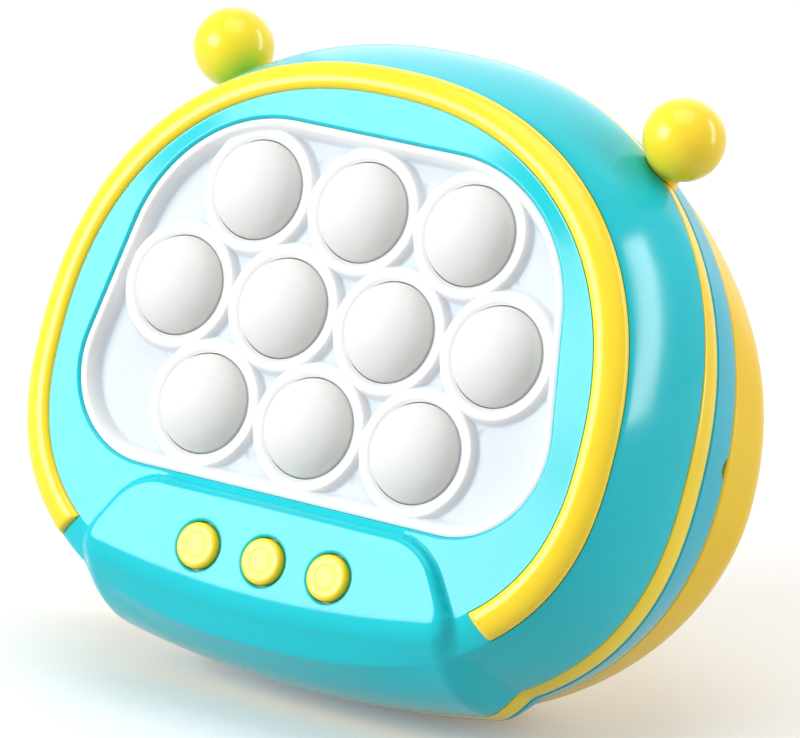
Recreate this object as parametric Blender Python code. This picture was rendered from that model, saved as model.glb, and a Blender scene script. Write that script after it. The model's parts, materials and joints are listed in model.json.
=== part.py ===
"""Electronic bubble pop game, in metres, +Z up, standing on its foot and leaning back.

Every piece is modelled in the casing's own frame and hangs from one empty that leans it back:
x runs to the right along the face, y runs from the face into the casing, z runs up the face.
The frame's origin is the middle of the bubble panel, on the plane of the face.
"""

import math
from dataclasses import dataclass, replace

import bmesh
import bpy
import numpy as np
from mathutils import Vector

MM = 0.001

# Stance
LEAN = math.radians(22.0)
FOOT_GAP = 0.3 * MM

# Fits
SEAT_GAP = 0.3 * MM
SLIDE_GAP = 0.35 * MM
OVERRUN = 2.0 * MM
ARC_SIDE_SHARE = 0.48
HOLE_PHASE = 0.3

# Casing outlines, each stepped out from the one before it, starting from the opening for the bubbles
WAIST_DROP = 15.0 * MM
UPPER_POWER = 2.24
SEAM_UPPER_POWER = 2.3
REAR_FRONT_UPPER_POWER = 2.17
REAR_UPPER_POWER = 2.12
LOWER_POWER = 2.5
REAR_LOWER_POWER = 2.25
FACE_SIDE_RIM = 2.1 * MM
FACE_TOP_RIM = 8.4 * MM
FACE_BOTTOM_RIM = 24.3 * MM
FACE_DEPTH = 1.3 * MM
SHOULDER_SIDE_STEP = 7.1 * MM
SHOULDER_TOP_STEP = 6.4 * MM
SHOULDER_BOTTOM_STEP = 6.4 * MM
SHOULDER_DEPTH = 4.6 * MM
SEAM_SIDE_STEP = 4.4 * MM
SEAM_TOP_STEP = 7.7 * MM
SEAM_BOTTOM_STEP = 5.0 * MM
SEAM_DEPTH = 26.3 * MM
BAND_THICKNESS = 5.4 * MM
BAND_FLARE = 0.5 * MM
BAND_TOP_STEP = 0.2 * MM
REAR_SIDE_STEP = 0.3 * MM
REAR_TOP_STEP = 1.4 * MM
REAR_DEPTH = 9.7 * MM
SHELL_WALL = 2.2 * MM
SIDE_SHARES = (0.0, 0.14, 0.38, 0.68, 1.0)
SIDE_FULLNESS_SHARE = 1.6
STATION_COUNT = 46

# Face, opening and trim
OPENING_DEPTH = 0.8 * MM
FACE_WALL = 2.3 * MM
OPENING_TOP_ROOM = 2.1 * MM
OPENING_BOTTOM_ROOM = 1.7 * MM
OPENING_TOP_DRAW_IN = 4.8 * MM
OPENING_BOTTOM_SIDE_ROOM = 8.8 * MM
OPENING_TOP_RADIUS = 33.0 * MM
OPENING_BOTTOM_RADIUS = 20.5 * MM
OPENING_CENTRE_DROP = 5.0 * MM
TRIM_END_ANGLE = math.radians(-45.6)
TRIM_BULGE = 2.2 * MM
TRIM_GROOVE_DEPTH = 1.5 * MM
GROOVE_WALL_SHARE = 0.04
GROOVE_CORNER_INSET = 0.7 * MM
EDGE_BULGE = 0.7 * MM
TRIM_ARC_STEPS = 6

# Bubbles and their panel
BUBBLE_ROWS = (3, 4, 3)
BUBBLE_ROW_ANGLE = math.radians(60.0)
BUBBLE_RADIUS = 10.45 * MM
BUBBLE_HEIGHT = 5.6 * MM
BUBBLE_WALL = 1.2 * MM
BUBBLE_TRAVEL = 4.0 * MM
BUBBLE_FLANGE_STEP = 1.55 * MM
BUBBLE_FLANGE_THICKNESS = 1.2 * MM
BUBBLE_POST_RADIUS = 2.2 * MM
BUBBLE_POST_LENGTH = 1.2 * MM
BUBBLE_SEGMENTS = 14
BUBBLE_OUTER_STEPS = 4
BUBBLE_INNER_STEPS = 2
RING_CREST_STEP = 1.65 * MM
RING_SKIRT = 1.2 * MM
RING_MERGE = 0.6 * MM
RING_CREST_DEPTH = 2.3 * MM
RING_CREST_HALF_WIDTH = 0.75 * MM
RING_GAP = 0.45 * MM
RING_SEGMENTS = 20
PANEL_FLOOR_DEPTH = 4.3 * MM
PANEL_THICKNESS = 2.0 * MM
PANEL_FLANGE_WIDTH = 1.8 * MM
PANEL_RIM_WIDTH = 1.6 * MM
PANEL_RIM_SLOPE_WIDTH = 1.5 * MM
PANEL_RIM_SINK = 0.25 * MM
PANEL_RIM_ROUND = 0.5 * MM
PANEL_POST_RADIUS = 2.1 * MM

# Main board and the switches under the bubbles
SWITCH_HEIGHT = 1.7 * MM
SWITCH_RADIUS = 3.0 * MM
SWITCH_SEGMENTS = 8
BOARD_THICKNESS = 1.6 * MM
BOARD_MARGIN = 3.0 * MM
BOARD_CORNER_STEPS = 3

# Chin with the three buttons
CHIN_TOP_GAP = 1.6 * MM
CHIN_TOP_HALF_WIDTH = 35.5 * MM
CHIN_TOP_RADIUS = 13.9 * MM
CHIN_HALF_WIDTH = 45.4 * MM
CHIN_SHOULDER_DROP = 15.4 * MM
CHIN_SHOULDER_RADIUS = 10.0 * MM
CHIN_SIDE_DRAFT = 1.6 * MM
CHIN_CORNER_RADIUS = 4.0 * MM
CHIN_RISE = 1.5 * MM
CHIN_EDGE_WIDTH = 3.3 * MM
CHIN_EDGE_DEPTH = 2.5 * MM
CHIN_FACE_DROP = 21.4 * MM
CHIN_UNDERSIDE_DROP = 1.0 * MM
CHIN_BOTTOM_RADIUS = 240.0 * MM
CHIN_EDGE_ANGLES = tuple(math.radians(angle) for angle in (0.0, 35.0, 62.0, 90.0))
CHIN_DEPTH_SHARES = (0.2, 0.42, 0.7, 1.0)
CHIN_WIDTH_SHARES = (-0.5, 0.0, 0.5)
CHIN_CORNER_STEPS = 4
BUTTON_NAMES = ("power_button", "mode_button", "volume_button")
BUTTON_PITCH = 16.0 * MM
BUTTON_DROP = 11.9 * MM
BUTTON_RADIUS = 4.75 * MM
BUTTON_PROUD = 1.2 * MM
BUTTON_ROUND = 0.9 * MM
BUTTON_TRAVEL = 1.2 * MM
BUTTON_FLANGE_WIDTH = 1.3 * MM
BUTTON_FLANGE_THICKNESS = 1.0 * MM
BUTTON_SEGMENTS = 16
BUTTON_SWITCH_HEIGHT = 2.4 * MM
BUTTON_SWITCH_WIDTH = 6.0 * MM
BUTTON_BOARD_THICKNESS = 1.2 * MM
BUTTON_BOARD_WIDTH = 62.0 * MM
BUTTON_BOARD_HEIGHT = 11.0 * MM
BUTTON_BOARD_POST_RADIUS = 2.0 * MM
BUTTON_BOARD_POST_PLACE = 27.0 * MM

# Middle band and antennas
TONGUE_THICKNESS = 1.5 * MM
TONGUE_REACH = 2.2 * MM
TONGUE_DRAFT = 0.5 * MM
ANTENNA_RADIUS = 8.5 * MM
ANTENNA_STAND_OFF = 9.9 * MM
ANTENNA_PLACE = 49.8 * MM
ANTENNA_TILT = math.radians(22.5)
ANTENNA_STEM_RADIUS = 1.6 * MM
ANTENNA_STEM_LENGTH = 5.0 * MM
ANTENNA_NECK_RADIUS = 4.4 * MM
ANTENNA_SEGMENTS = 16
ANTENNA_STEPS = 7

# Rear shell
REAR_TAPER_SHARE = 0.4
CHIN_FADE_SHARE = 0.6
PRY_NOTCH_RADIUS = 2.3 * MM
PRY_NOTCH_DEPTH = 1.0 * MM
PRY_NOTCH_HEIGHT_ON_SIDE = -10.0 * MM
PRY_NOTCH_SEGMENTS = 12

# Back cover: half width, rise and drop as shares of the rear seam's, and depth as a share of its own
COVER_DEPTH = 23.4 * MM
COVER_DEPTH_SHARES = (0.0, 0.24, 0.46, 0.63, 0.79, 0.91, 0.98, 1.0)
COVER_WIDTH_SHARES = (0.998, 1.01, 1.014, 0.99, 0.942, 0.884, 0.82, 0.77)
COVER_RISE_SHARES = (0.99, 0.955, 0.895, 0.822, 0.76, 0.695, 0.63, 0.585)
COVER_DROP_SHARES = (1.0, 0.995, 0.985, 0.96, 0.92, 0.86, 0.79, 0.735)
COVER_LOWER_POWERS = (2.25, 2.15, 2.05, 1.98, 1.95, 1.95, 1.95, 1.95)
COVER_WALL = 2.2 * MM
COVER_LIP_REACH = 2.0 * MM
COVER_LIP_THICKNESS = 1.4 * MM

# Battery bay, its door and the cells
CELL_RADIUS = 5.15 * MM
CELL_LENGTH = 44.5 * MM
CELL_PITCH = 11.2 * MM
CELL_COUNT = 3
CELL_SEGMENTS = 14
CELL_NUB_RADIUS = 1.9 * MM
CELL_NUB_LENGTH = 0.8 * MM
BAY_CENTRE_RISE = 43.7 * MM
BAY_SIDE_ROOM = 0.6 * MM
BAY_WALL = 1.8 * MM
BAY_FLOOR = 1.6 * MM
DOOR_LEDGE = 2.0 * MM
DOOR_THICKNESS = 2.2 * MM
DOOR_RADIUS = 3.0 * MM
DOOR_CORNER_STEPS = 3
DOOR_EAR_LENGTH = 7.0 * MM
DOOR_EAR_WIDTH = 12.0 * MM
DOOR_SCREW_BOSS_DEPTH = 6.5 * MM
CONTACT_THICKNESS = 0.4 * MM
CONTACT_WIDTH = 7.6 * MM
CONTACT_SPRING_ROOM = 4.2 * MM
CONTACT_SPRING_SHARE = 0.7
CONTACT_SPRING_STEPS = 6

# Screws
SCREW_SHANK_RADIUS = 1.25 * MM
SCREW_HEAD_RADIUS = 2.5 * MM
SCREW_HEAD_HEIGHT = 1.3 * MM
SCREW_SOCKET_RADIUS = 1.1 * MM
SCREW_SOCKET_DEPTH = 0.9 * MM
SCREW_SEGMENTS = 12
SCREW_BITE = 9.0 * MM
DOOR_SCREW_LENGTH = 5.0 * MM
BOSS_RADIUS = 3.5 * MM
WELL_RADIUS = 4.6 * MM
BOSS_JOINT_STEP = 3.5 * MM
BOSS_SEAT_STEP = 2.7 * MM
UPPER_BOSS_SIDE_ROOM = 5.3 * MM
UPPER_BOSS_DROP = 11.2 * MM
UPPER_BOSS_ROOT = 6.4 * MM
LOWER_BOSS_DRAW_IN = 7.1 * MM
LOWER_BOSS_DROP = 1.5 * MM
LOWER_BOSS_ROOT = 2.0 * MM

# Speaker
SPEAKER_RADIUS = 14.0 * MM
SPEAKER_DEPTH = 6.0 * MM
SPEAKER_RIM = 1.2 * MM
SPEAKER_CONE_RADIUS = 12.0 * MM
SPEAKER_CONE_DEPTH = 1.6 * MM
SPEAKER_MAGNET_RADIUS = 7.0 * MM
SPEAKER_BASKET_SHARE = 0.5
SPEAKER_CENTRE = 12.0 * MM
SPEAKER_WALL = 1.5 * MM
SPEAKER_WALL_HEIGHT = 4.5 * MM
SPEAKER_SEGMENTS = 18
SLOT_WIDTH = 1.8 * MM
SLOT_PITCH = 4.0 * MM
SLOT_COUNT = 5
SLOT_FIELD_RADIUS = 11.5 * MM
SLOT_END_STEPS = 3


@dataclass(frozen=True)
class Section:
    """One closed outline of the casing, a superellipse about the waist line."""

    depth: float
    half_width: float
    rise: float
    drop: float
    upper_power: float = UPPER_POWER
    lower_power: float = LOWER_POWER

    def inset(self, wall, depth=None):
        """The outline drawn in by a wall, at its own depth or another."""
        return replace(
            self,
            depth=self.depth if depth is None else depth,
            half_width=self.half_width - wall,
            rise=self.rise - wall,
            drop=self.drop - wall,
        )

    def towards(self, other, depth, share):
        """An outline at a depth, a share of the way from this one to another."""
        return Section(
            depth,
            self.half_width + share * (other.half_width - self.half_width),
            self.rise + share * (other.rise - self.rise),
            self.drop + share * (other.drop - self.drop),
            self.upper_power + share * (other.upper_power - self.upper_power),
            self.lower_power + share * (other.lower_power - self.lower_power),
        )


RING_CREST_RADIUS = BUBBLE_RADIUS + RING_CREST_STEP
RING_OUTER_RADIUS = RING_CREST_RADIUS + RING_SKIRT
BUBBLE_FLANGE_RADIUS = BUBBLE_RADIUS + BUBBLE_FLANGE_STEP
BUBBLE_PITCH = 2 * RING_OUTER_RADIUS - RING_MERGE
ROW_PITCH = BUBBLE_PITCH * math.sin(BUBBLE_ROW_ANGLE)
FIELD_HALF_WIDTH = BUBBLE_PITCH * (max(BUBBLE_ROWS) - 1) / 2 + RING_OUTER_RADIUS
FIELD_HALF_HEIGHT = ROW_PITCH * (len(BUBBLE_ROWS) - 1) / 2 + RING_OUTER_RADIUS
OPENING_TOP = FIELD_HALF_HEIGHT + OPENING_TOP_ROOM
OPENING_BOTTOM = -FIELD_HALF_HEIGHT - OPENING_BOTTOM_ROOM
OPENING_TOP_HALF_WIDTH = FIELD_HALF_WIDTH - OPENING_TOP_DRAW_IN
OPENING_BOTTOM_HALF_WIDTH = FIELD_HALF_WIDTH + OPENING_BOTTOM_SIDE_ROOM

FACE_HALF_WIDTH = OPENING_BOTTOM_HALF_WIDTH + FACE_SIDE_RIM
FACE_RISE = OPENING_TOP + WAIST_DROP + FACE_TOP_RIM
FACE_DROP = FACE_BOTTOM_RIM - OPENING_BOTTOM - WAIST_DROP
SHOULDER_HALF_WIDTH = FACE_HALF_WIDTH + SHOULDER_SIDE_STEP
SHOULDER_RISE = FACE_RISE + SHOULDER_TOP_STEP
SHOULDER_DROP = FACE_DROP + SHOULDER_BOTTOM_STEP
SEAM_HALF_WIDTH = SHOULDER_HALF_WIDTH + SEAM_SIDE_STEP
SEAM_RISE = SHOULDER_RISE + SEAM_TOP_STEP
SEAM_DROP = SHOULDER_DROP + SEAM_BOTTOM_STEP
REAR_DROP = SEAM_DROP + BAND_FLARE
CHIN_TOP = OPENING_BOTTOM - CHIN_TOP_GAP
CHIN_SHOULDER = CHIN_TOP - CHIN_SHOULDER_DROP
CHIN_FACE_BOTTOM = CHIN_TOP - CHIN_FACE_DROP
CHIN_BOTTOM = -WAIST_DROP - SEAM_DROP - CHIN_UNDERSIDE_DROP
BUTTON_HEIGHT_ON_FACE = CHIN_TOP - BUTTON_DROP
UPPER_BOSS_PLACE = (OPENING_TOP_HALF_WIDTH + UPPER_BOSS_SIDE_ROOM, OPENING_TOP - UPPER_BOSS_DROP)
LOWER_BOSS_PLACE = (OPENING_BOTTOM_HALF_WIDTH - LOWER_BOSS_DRAW_IN, OPENING_BOTTOM - LOWER_BOSS_DROP)
BAY_CENTRE = BAY_CENTRE_RISE - WAIST_DROP - REAR_DROP

FACE = Section(FACE_DEPTH, FACE_HALF_WIDTH, FACE_RISE, FACE_DROP)
SHOULDER = Section(SHOULDER_DEPTH, SHOULDER_HALF_WIDTH, SHOULDER_RISE, SHOULDER_DROP)
SEAM = Section(SEAM_DEPTH, SEAM_HALF_WIDTH, SEAM_RISE, SEAM_DROP, SEAM_UPPER_POWER)
BAND_FRONT_DEPTH = SEAM_DEPTH + SEAT_GAP
BAND_REAR_DEPTH = BAND_FRONT_DEPTH + BAND_THICKNESS
REAR_FRONT_DEPTH = BAND_REAR_DEPTH + SEAT_GAP
REAR_SEAM_DEPTH = REAR_FRONT_DEPTH + REAR_DEPTH
COVER_FRONT_DEPTH = REAR_SEAM_DEPTH + SEAT_GAP
COVER_BACK_DEPTH = COVER_FRONT_DEPTH + COVER_DEPTH
BOSS_JOINT_DEPTH = SEAM_DEPTH + BOSS_JOINT_STEP
BOSS_SEAT_DEPTH = COVER_FRONT_DEPTH + BOSS_SEAT_STEP
REAR_FRONT = Section(
    REAR_FRONT_DEPTH,
    SEAM_HALF_WIDTH + BAND_FLARE,
    SEAM_RISE - BAND_TOP_STEP,
    REAR_DROP,
    REAR_FRONT_UPPER_POWER,
)
REAR_SEAM = Section(
    REAR_SEAM_DEPTH,
    SEAM_HALF_WIDTH - REAR_SIDE_STEP,
    SEAM_RISE - REAR_TOP_STEP,
    REAR_DROP,
    REAR_UPPER_POWER,
    REAR_LOWER_POWER,
)
FOOT_HEIGHT = -WAIST_DROP - REAR_SEAM.drop - FOOT_GAP

PANEL_BACK_DEPTH = PANEL_FLOOR_DEPTH + PANEL_THICKNESS
FLANGE_FRONT_DEPTH = PANEL_BACK_DEPTH + SEAT_GAP
FLANGE_BACK_DEPTH = FLANGE_FRONT_DEPTH + BUBBLE_FLANGE_THICKNESS
POST_END_DEPTH = FLANGE_BACK_DEPTH + BUBBLE_POST_LENGTH
SWITCH_TOP_DEPTH = POST_END_DEPTH + BUBBLE_TRAVEL + SEAT_GAP
BOARD_FRONT_DEPTH = SWITCH_TOP_DEPTH + SWITCH_HEIGHT + SEAT_GAP

CHIN_FACE_DEPTH = -CHIN_RISE
FACE_BACK_DEPTH = OPENING_DEPTH + FACE_WALL
BUTTON_TOP_DEPTH = CHIN_FACE_DEPTH - BUTTON_PROUD
CHIN_BACK_DEPTH = CHIN_FACE_DEPTH + SHELL_WALL
BUTTON_FLANGE_DEPTH = CHIN_BACK_DEPTH + SEAT_GAP
BUTTON_BOTTOM_DEPTH = BUTTON_FLANGE_DEPTH + BUTTON_FLANGE_THICKNESS
BUTTON_SWITCH_DEPTH = BUTTON_BOTTOM_DEPTH + BUTTON_TRAVEL + SEAT_GAP
BUTTON_BOARD_DEPTH = BUTTON_SWITCH_DEPTH + BUTTON_SWITCH_HEIGHT + SEAT_GAP

DOOR_DEPTH = COVER_BACK_DEPTH - DOOR_THICKNESS
LEDGE_DEPTH = DOOR_DEPTH - SEAT_GAP
CELL_DEPTH = LEDGE_DEPTH - SEAT_GAP - CELL_RADIUS
BAY_FLOOR_DEPTH = CELL_DEPTH - CELL_RADIUS - SEAT_GAP
BAY_WIDTH = CELL_LENGTH + CONTACT_SPRING_ROOM + 2 * CONTACT_THICKNESS + 3 * SEAT_GAP
BAY_HEIGHT = CELL_PITCH * (CELL_COUNT - 1) + 2 * (CELL_RADIUS + BAY_SIDE_ROOM)
BAY_TOP = BAY_CENTRE + BAY_HEIGHT / 2
BAY_BOTTOM = BAY_CENTRE - BAY_HEIGHT / 2
SPEAKER_BACK_DEPTH = COVER_BACK_DEPTH - COVER_WALL - SEAT_GAP


def clear_scene():
    """Removes every object of the open file."""
    for obj in list(bpy.data.objects):
        bpy.data.objects.remove(obj, do_unlink=True)


def plastic(name, colour, roughness, metallic=0.0):
    """A Principled material of one colour."""
    material = bpy.data.materials.new(name)
    material.use_nodes = True
    shader = material.node_tree.nodes["Principled BSDF"]
    shader.inputs["Base Color"].default_value = (*colour, 1.0)
    shader.inputs["Roughness"].default_value = roughness
    shader.inputs["Metallic"].default_value = metallic
    material.diffuse_color = (*colour, 1.0)
    return material


def new_piece(name, points, faces, material=None, place=(0.0, 0.0)):
    """A mesh object in the casing's frame, its origin at (x, z) on the plane of the face."""
    mesh = bpy.data.meshes.new(name)
    mesh.from_pydata([tuple(point) for point in points], [], [tuple(face) for face in faces])
    shape = bmesh.new()
    shape.from_mesh(mesh)
    bmesh.ops.recalc_face_normals(shape, faces=shape.faces)
    bmesh.ops.triangulate(shape, faces=shape.faces)
    shape.to_mesh(mesh)
    shape.free()
    mesh.shade_smooth()
    mesh.set_sharp_from_angle(angle=math.radians(35.0))
    piece = bpy.data.objects.new(name, mesh)
    bpy.context.scene.collection.objects.link(piece)
    piece.parent = bpy.data.objects["casing_frame"]
    piece.location = (place[0], 0.0, place[1])
    if material:
        mesh.materials.append(material)
    else:
        piece.hide_render = True
        piece.display_type = "WIRE"
    return piece


def combine(piece, tool, operation):
    """Joins a hidden tool to a piece, or cuts it away."""
    step = piece.modifiers.new(tool.name, "BOOLEAN")
    step.operation = operation
    step.solver = "EXACT"
    step.object = tool


def loft(name, rings, material=None, joined=False, place=(0.0, 0.0)):
    """A solid through closed rings of equal count, capped at its ends or joined end to end."""
    count = len(rings[0])
    points = np.concatenate(rings)
    here = np.arange(count)
    after = (here + 1) % count
    faces = []
    for index in range(len(rings) if joined else len(rings) - 1):
        first = index * count
        second = (index + 1) % len(rings) * count
        faces += np.stack([first + here, first + after, second + after, second + here], axis=1).tolist()
    if not joined:
        faces.append(list(range(count)))
        faces.append(list(range(len(points) - count, len(points))))
    return new_piece(name, points, faces, material, place)


def turned_mesh(profile, segments, phase):
    """Points and faces of a profile of (radius, depth) turned about the y axis.

    A profile that starts and ends at radius zero closes at its poles, and any other joins end to end.
    The phase turns the facets by a share of one, so that crossing solids share no edges.
    """
    angles = (np.arange(segments) + phase) * 2 * math.pi / segments
    points = []
    starts = []
    for radius, depth in profile:
        starts.append(len(points))
        if radius == 0:
            points.append((0.0, depth, 0.0))
        else:
            points += [(radius * math.cos(a), depth, radius * math.sin(a)) for a in angles]
    faces = []
    closed = profile[0][0] != 0
    for index in range(len(profile) if closed else len(profile) - 1):
        follower = (index + 1) % len(profile)
        first, second = starts[index], starts[follower]
        for here in range(segments):
            after = (here + 1) % segments
            if profile[index][0] == 0:
                faces.append((first, second + after, second + here))
            elif profile[follower][0] == 0:
                faces.append((first + here, first + after, second))
            else:
                faces.append((first + here, first + after, second + after, second + here))
    return points, faces


def turned(name, profile, segments, material=None, place=(0.0, 0.0)):
    """A turned solid about the depth axis at a place on the face."""
    return new_piece(name, *turned_mesh(profile, segments, 0.0), material, place)


def turned_group(name, profile, segments, places, phase=0.0):
    """A hidden tool of equal turned solids that stand apart from each other."""
    unit_points, unit_faces = turned_mesh(profile, segments, phase)
    points = []
    faces = []
    for x, z in places:
        start = len(points)
        points += [(px + x, py, pz + z) for px, py, pz in unit_points]
        faces += [tuple(start + corner for corner in face) for face in unit_faces]
    return new_piece(name, points, faces)


def at_depth(outline, depth):
    """An outline of (x, z) points as a ring of points at a depth."""
    return np.column_stack([outline[:, 0], np.full(len(outline), depth), outline[:, 1]])


def rod_profile(radius, front, back):
    """The profile of a plain round rod between two depths."""
    return [(0.0, front), (radius, front), (radius, back), (0.0, back)]


def prism(name, outline, front, back, material=None, place=(0.0, 0.0)):
    """An outline of (x, z) points carried straight from one depth to another."""
    rings = [at_depth(outline, depth) for depth in (front, back)]
    return loft(name, rings, material, place=place)


def rounded_outline(corners, radii, steps):
    """A closed convex outline, counter-clockwise, with an arc of its own radius at each corner.

    An arc takes up no more than its share of the shorter side that it joins.
    """
    corners = [np.array(corner, dtype=float) for corner in corners]
    points = []
    for index, corner in enumerate(corners):
        if radii[index] == 0:
            points.append(corner)
            continue
        back = corners[index - 1] - corner
        ahead = corners[(index + 1) % len(corners)] - corner
        room = min(np.hypot(*back), np.hypot(*ahead)) * ARC_SIDE_SHARE
        back /= np.hypot(*back)
        ahead /= np.hypot(*ahead)
        half = math.acos(float(back @ ahead)) / 2
        radius = min(radii[index], room * math.tan(half))
        middle = back + ahead
        centre = corner + middle / np.hypot(*middle) * radius / math.sin(half)
        start = corner + back * radius / math.tan(half) - centre
        first = math.atan2(start[1], start[0])
        for share in np.linspace(0.0, 1.0, steps + 1):
            angle = first + share * (math.pi - 2 * half)
            points.append(centre + radius * np.array([math.cos(angle), math.sin(angle)]))
    return np.array(points)


def rectangle_outline(width, height, radius=0.0, steps=1, centre=(0.0, 0.0)):
    """A rectangle about a centre, with round corners where a radius is given."""
    half = np.array([width, height]) / 2
    corners = [np.array(centre) + half * np.array(sign) for sign in ((-1, -1), (1, -1), (1, 1), (-1, 1))]
    return rounded_outline(corners, [radius] * 4, steps)


def outline_of(section, angles):
    """The (x, z) points of a casing outline at angles about the waist."""
    cosine = np.cos(angles)
    sine = np.sin(angles)
    power = 2 / np.where(sine >= 0, section.upper_power, section.lower_power)
    reach = np.where(sine >= 0, section.rise, section.drop)
    x = section.half_width * np.sign(cosine) * np.abs(cosine) ** power
    z = reach * np.sign(sine) * np.abs(sine) ** power - WAIST_DROP
    return np.column_stack([x, z])


def ring_of(section, angles):
    """The outline's points at the section's depth."""
    return at_depth(outline_of(section, angles), section.depth)


def angle_at_width(section, x):
    """The angle under the waist at which an outline is x wide."""
    return -math.acos((x / section.half_width) ** (section.lower_power / 2))


def trim_angle_step():
    """The angle that the seat gap takes up along the trim."""
    return SEAT_GAP / FACE_HALF_WIDTH


def stations():
    """The angles that every casing outline is sampled at, counter-clockwise from the lowest right one.

    Even angles, two close ones at each end of the trim's groove, and one at each corner of the chin.
    """
    even = np.arange(STATION_COUNT) * 2 * math.pi / STATION_COUNT - math.pi / 2
    step = trim_angle_step()
    chin_low = angle_at_width(SEAM, CHIN_HALF_WIDTH + CHIN_SIDE_DRAFT - CHIN_CORNER_RADIUS / 2)
    chin_high = angle_at_width(SEAM, CHIN_HALF_WIDTH + CHIN_SIDE_DRAFT)
    right = [TRIM_END_ANGLE, TRIM_END_ANGLE - step, TRIM_END_ANGLE - 2 * step, chin_low, chin_high]
    special = right + [math.pi - angle for angle in right]
    spacing = math.pi / STATION_COUNT
    kept = [angle for angle in even if min(abs(angle - other) for other in special) > spacing / 2]
    return np.sort(np.array(kept + special))


def opening_outline(inset, steps):
    """The opening in the face, drawn in by an inset or grown by a negative one."""
    lean = math.atan2(OPENING_BOTTOM_HALF_WIDTH - OPENING_TOP_HALF_WIDTH, OPENING_TOP - OPENING_BOTTOM)
    top = OPENING_TOP - inset
    bottom = OPENING_BOTTOM + inset
    slope = math.tan(lean)
    top_half = OPENING_TOP_HALF_WIDTH + slope * inset - inset / math.cos(lean)
    bottom_half = OPENING_BOTTOM_HALF_WIDTH - slope * inset - inset / math.cos(lean)
    corners = [(-bottom_half, bottom), (bottom_half, bottom), (top_half, top), (-top_half, top)]
    radii = [OPENING_BOTTOM_RADIUS - inset] * 2 + [OPENING_TOP_RADIUS - inset] * 2
    return rounded_outline(corners, radii, steps)


def opening_ring(angles, inset, depth):
    """The opening's outline sampled along the same rays as the face's, so that the two loft together."""
    edge = outline_of(FACE, angles)
    wanted = np.arctan2(edge[:, 1] + OPENING_CENTRE_DROP, edge[:, 0])
    fine = opening_outline(inset, steps=24)
    bearing = np.arctan2(fine[:, 1] + OPENING_CENTRE_DROP, fine[:, 0])
    order = np.argsort(bearing)
    bearing = bearing[order]
    fine = fine[order]
    x = np.interp(wanted, bearing, fine[:, 0], period=2 * math.pi)
    z = np.interp(wanted, bearing, fine[:, 1], period=2 * math.pi)
    return at_depth(np.column_stack([x, z]), depth)


def edge_ring(angles, share, proud):
    """A ring on the rounded edge between the face and the shoulder.

    The share runs from the face to the shoulder, and proud stands each point off their chord.
    """
    face = ring_of(FACE, angles)
    chord = ring_of(SHOULDER, angles) - face
    along = chord / np.linalg.norm(chord, axis=1, keepdims=True)
    outward = np.array([0.0, -1.0, 0.0]) + along[:, 1:2] * along
    outward /= np.linalg.norm(outward, axis=1, keepdims=True)
    return face + share * chord + np.reshape(proud, (-1, 1)) * outward


def in_groove(angles):
    """True at the stations that the trim's groove runs through."""
    step = trim_angle_step()
    return (angles > TRIM_END_ANGLE - 1.5 * step) & (angles < math.pi - TRIM_END_ANGLE + 1.5 * step)


def side_section(share):
    """An outline of the front shell's side wall, which is full towards the shoulder."""
    depth = SHOULDER.depth + share * (SEAM.depth - SHOULDER.depth)
    return SHOULDER.towards(SEAM, depth, 1 - (1 - share) ** SIDE_FULLNESS_SHARE)


def chin_bottom_at(depth):
    """The height of the chin's underside on its middle line: an arc that ends level at the seam."""
    run = SEAM_DEPTH - CHIN_FACE_DEPTH
    fall = CHIN_FACE_BOTTOM - CHIN_BOTTOM
    radius = (run * run + fall * fall) / (2 * fall)
    back = min(max(SEAM_DEPTH - depth, 0.0), run)
    return CHIN_BOTTOM + radius - math.sqrt(radius * radius - back * back)


def chin_sag(x):
    """How far the chin's underside rises from its middle line at x."""
    return CHIN_BOTTOM_RADIUS - np.sqrt(CHIN_BOTTOM_RADIUS**2 - np.square(x))


def chin_ring(depth, inset):
    """The chin's outline at a depth, its top and sides drawn in by the rounding of its edge."""
    draft = CHIN_SIDE_DRAFT * max(depth, 0.0) / SEAM_DEPTH
    bottom = chin_bottom_at(depth)
    side = CHIN_HALF_WIDTH + draft - inset
    low = [(side * share, bottom + float(chin_sag(side * share))) for share in CHIN_WIDTH_SHARES]
    corner = bottom + float(chin_sag(side))
    top_half = CHIN_TOP_HALF_WIDTH - inset / 2
    corners = [
        *low,
        (side, corner),
        (CHIN_HALF_WIDTH + draft / 2 - inset, CHIN_SHOULDER),
        (top_half, CHIN_TOP - inset),
        (-top_half, CHIN_TOP - inset),
        (-CHIN_HALF_WIDTH - draft / 2 + inset, CHIN_SHOULDER),
        (-side, corner),
    ]
    radii = [0.0] * len(low) + [
        CHIN_CORNER_RADIUS,
        CHIN_SHOULDER_RADIUS - inset,
        CHIN_TOP_RADIUS - inset,
        CHIN_TOP_RADIUS - inset,
        CHIN_SHOULDER_RADIUS - inset,
        CHIN_CORNER_RADIUS,
    ]
    return at_depth(rounded_outline(corners, radii, CHIN_CORNER_STEPS), depth)


def with_chin(ring, share):
    """A casing ring whose bottom follows the chin, by a share that fades it out."""
    x = np.abs(ring[:, 0])
    outer = CHIN_HALF_WIDTH + CHIN_SIDE_DRAFT
    inner = outer - CHIN_CORNER_RADIUS / 2
    chin = CHIN_BOTTOM + chin_sag(np.minimum(x, inner))
    blend = np.clip((outer - x) / (outer - inner), 0.0, 1.0) * share
    covered = (ring[:, 2] < CHIN_SHOULDER) & (chin < ring[:, 2])
    fall = np.where(covered, blend * (chin - ring[:, 2]), 0.0)
    return np.column_stack([ring[:, 0], ring[:, 1], ring[:, 2] + fall])


def foot_plane(depth):
    """The height, in the casing's frame, of the level plane that the toy stands on."""
    return FOOT_HEIGHT + (depth - REAR_SEAM_DEPTH) * math.tan(LEAN)


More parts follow.
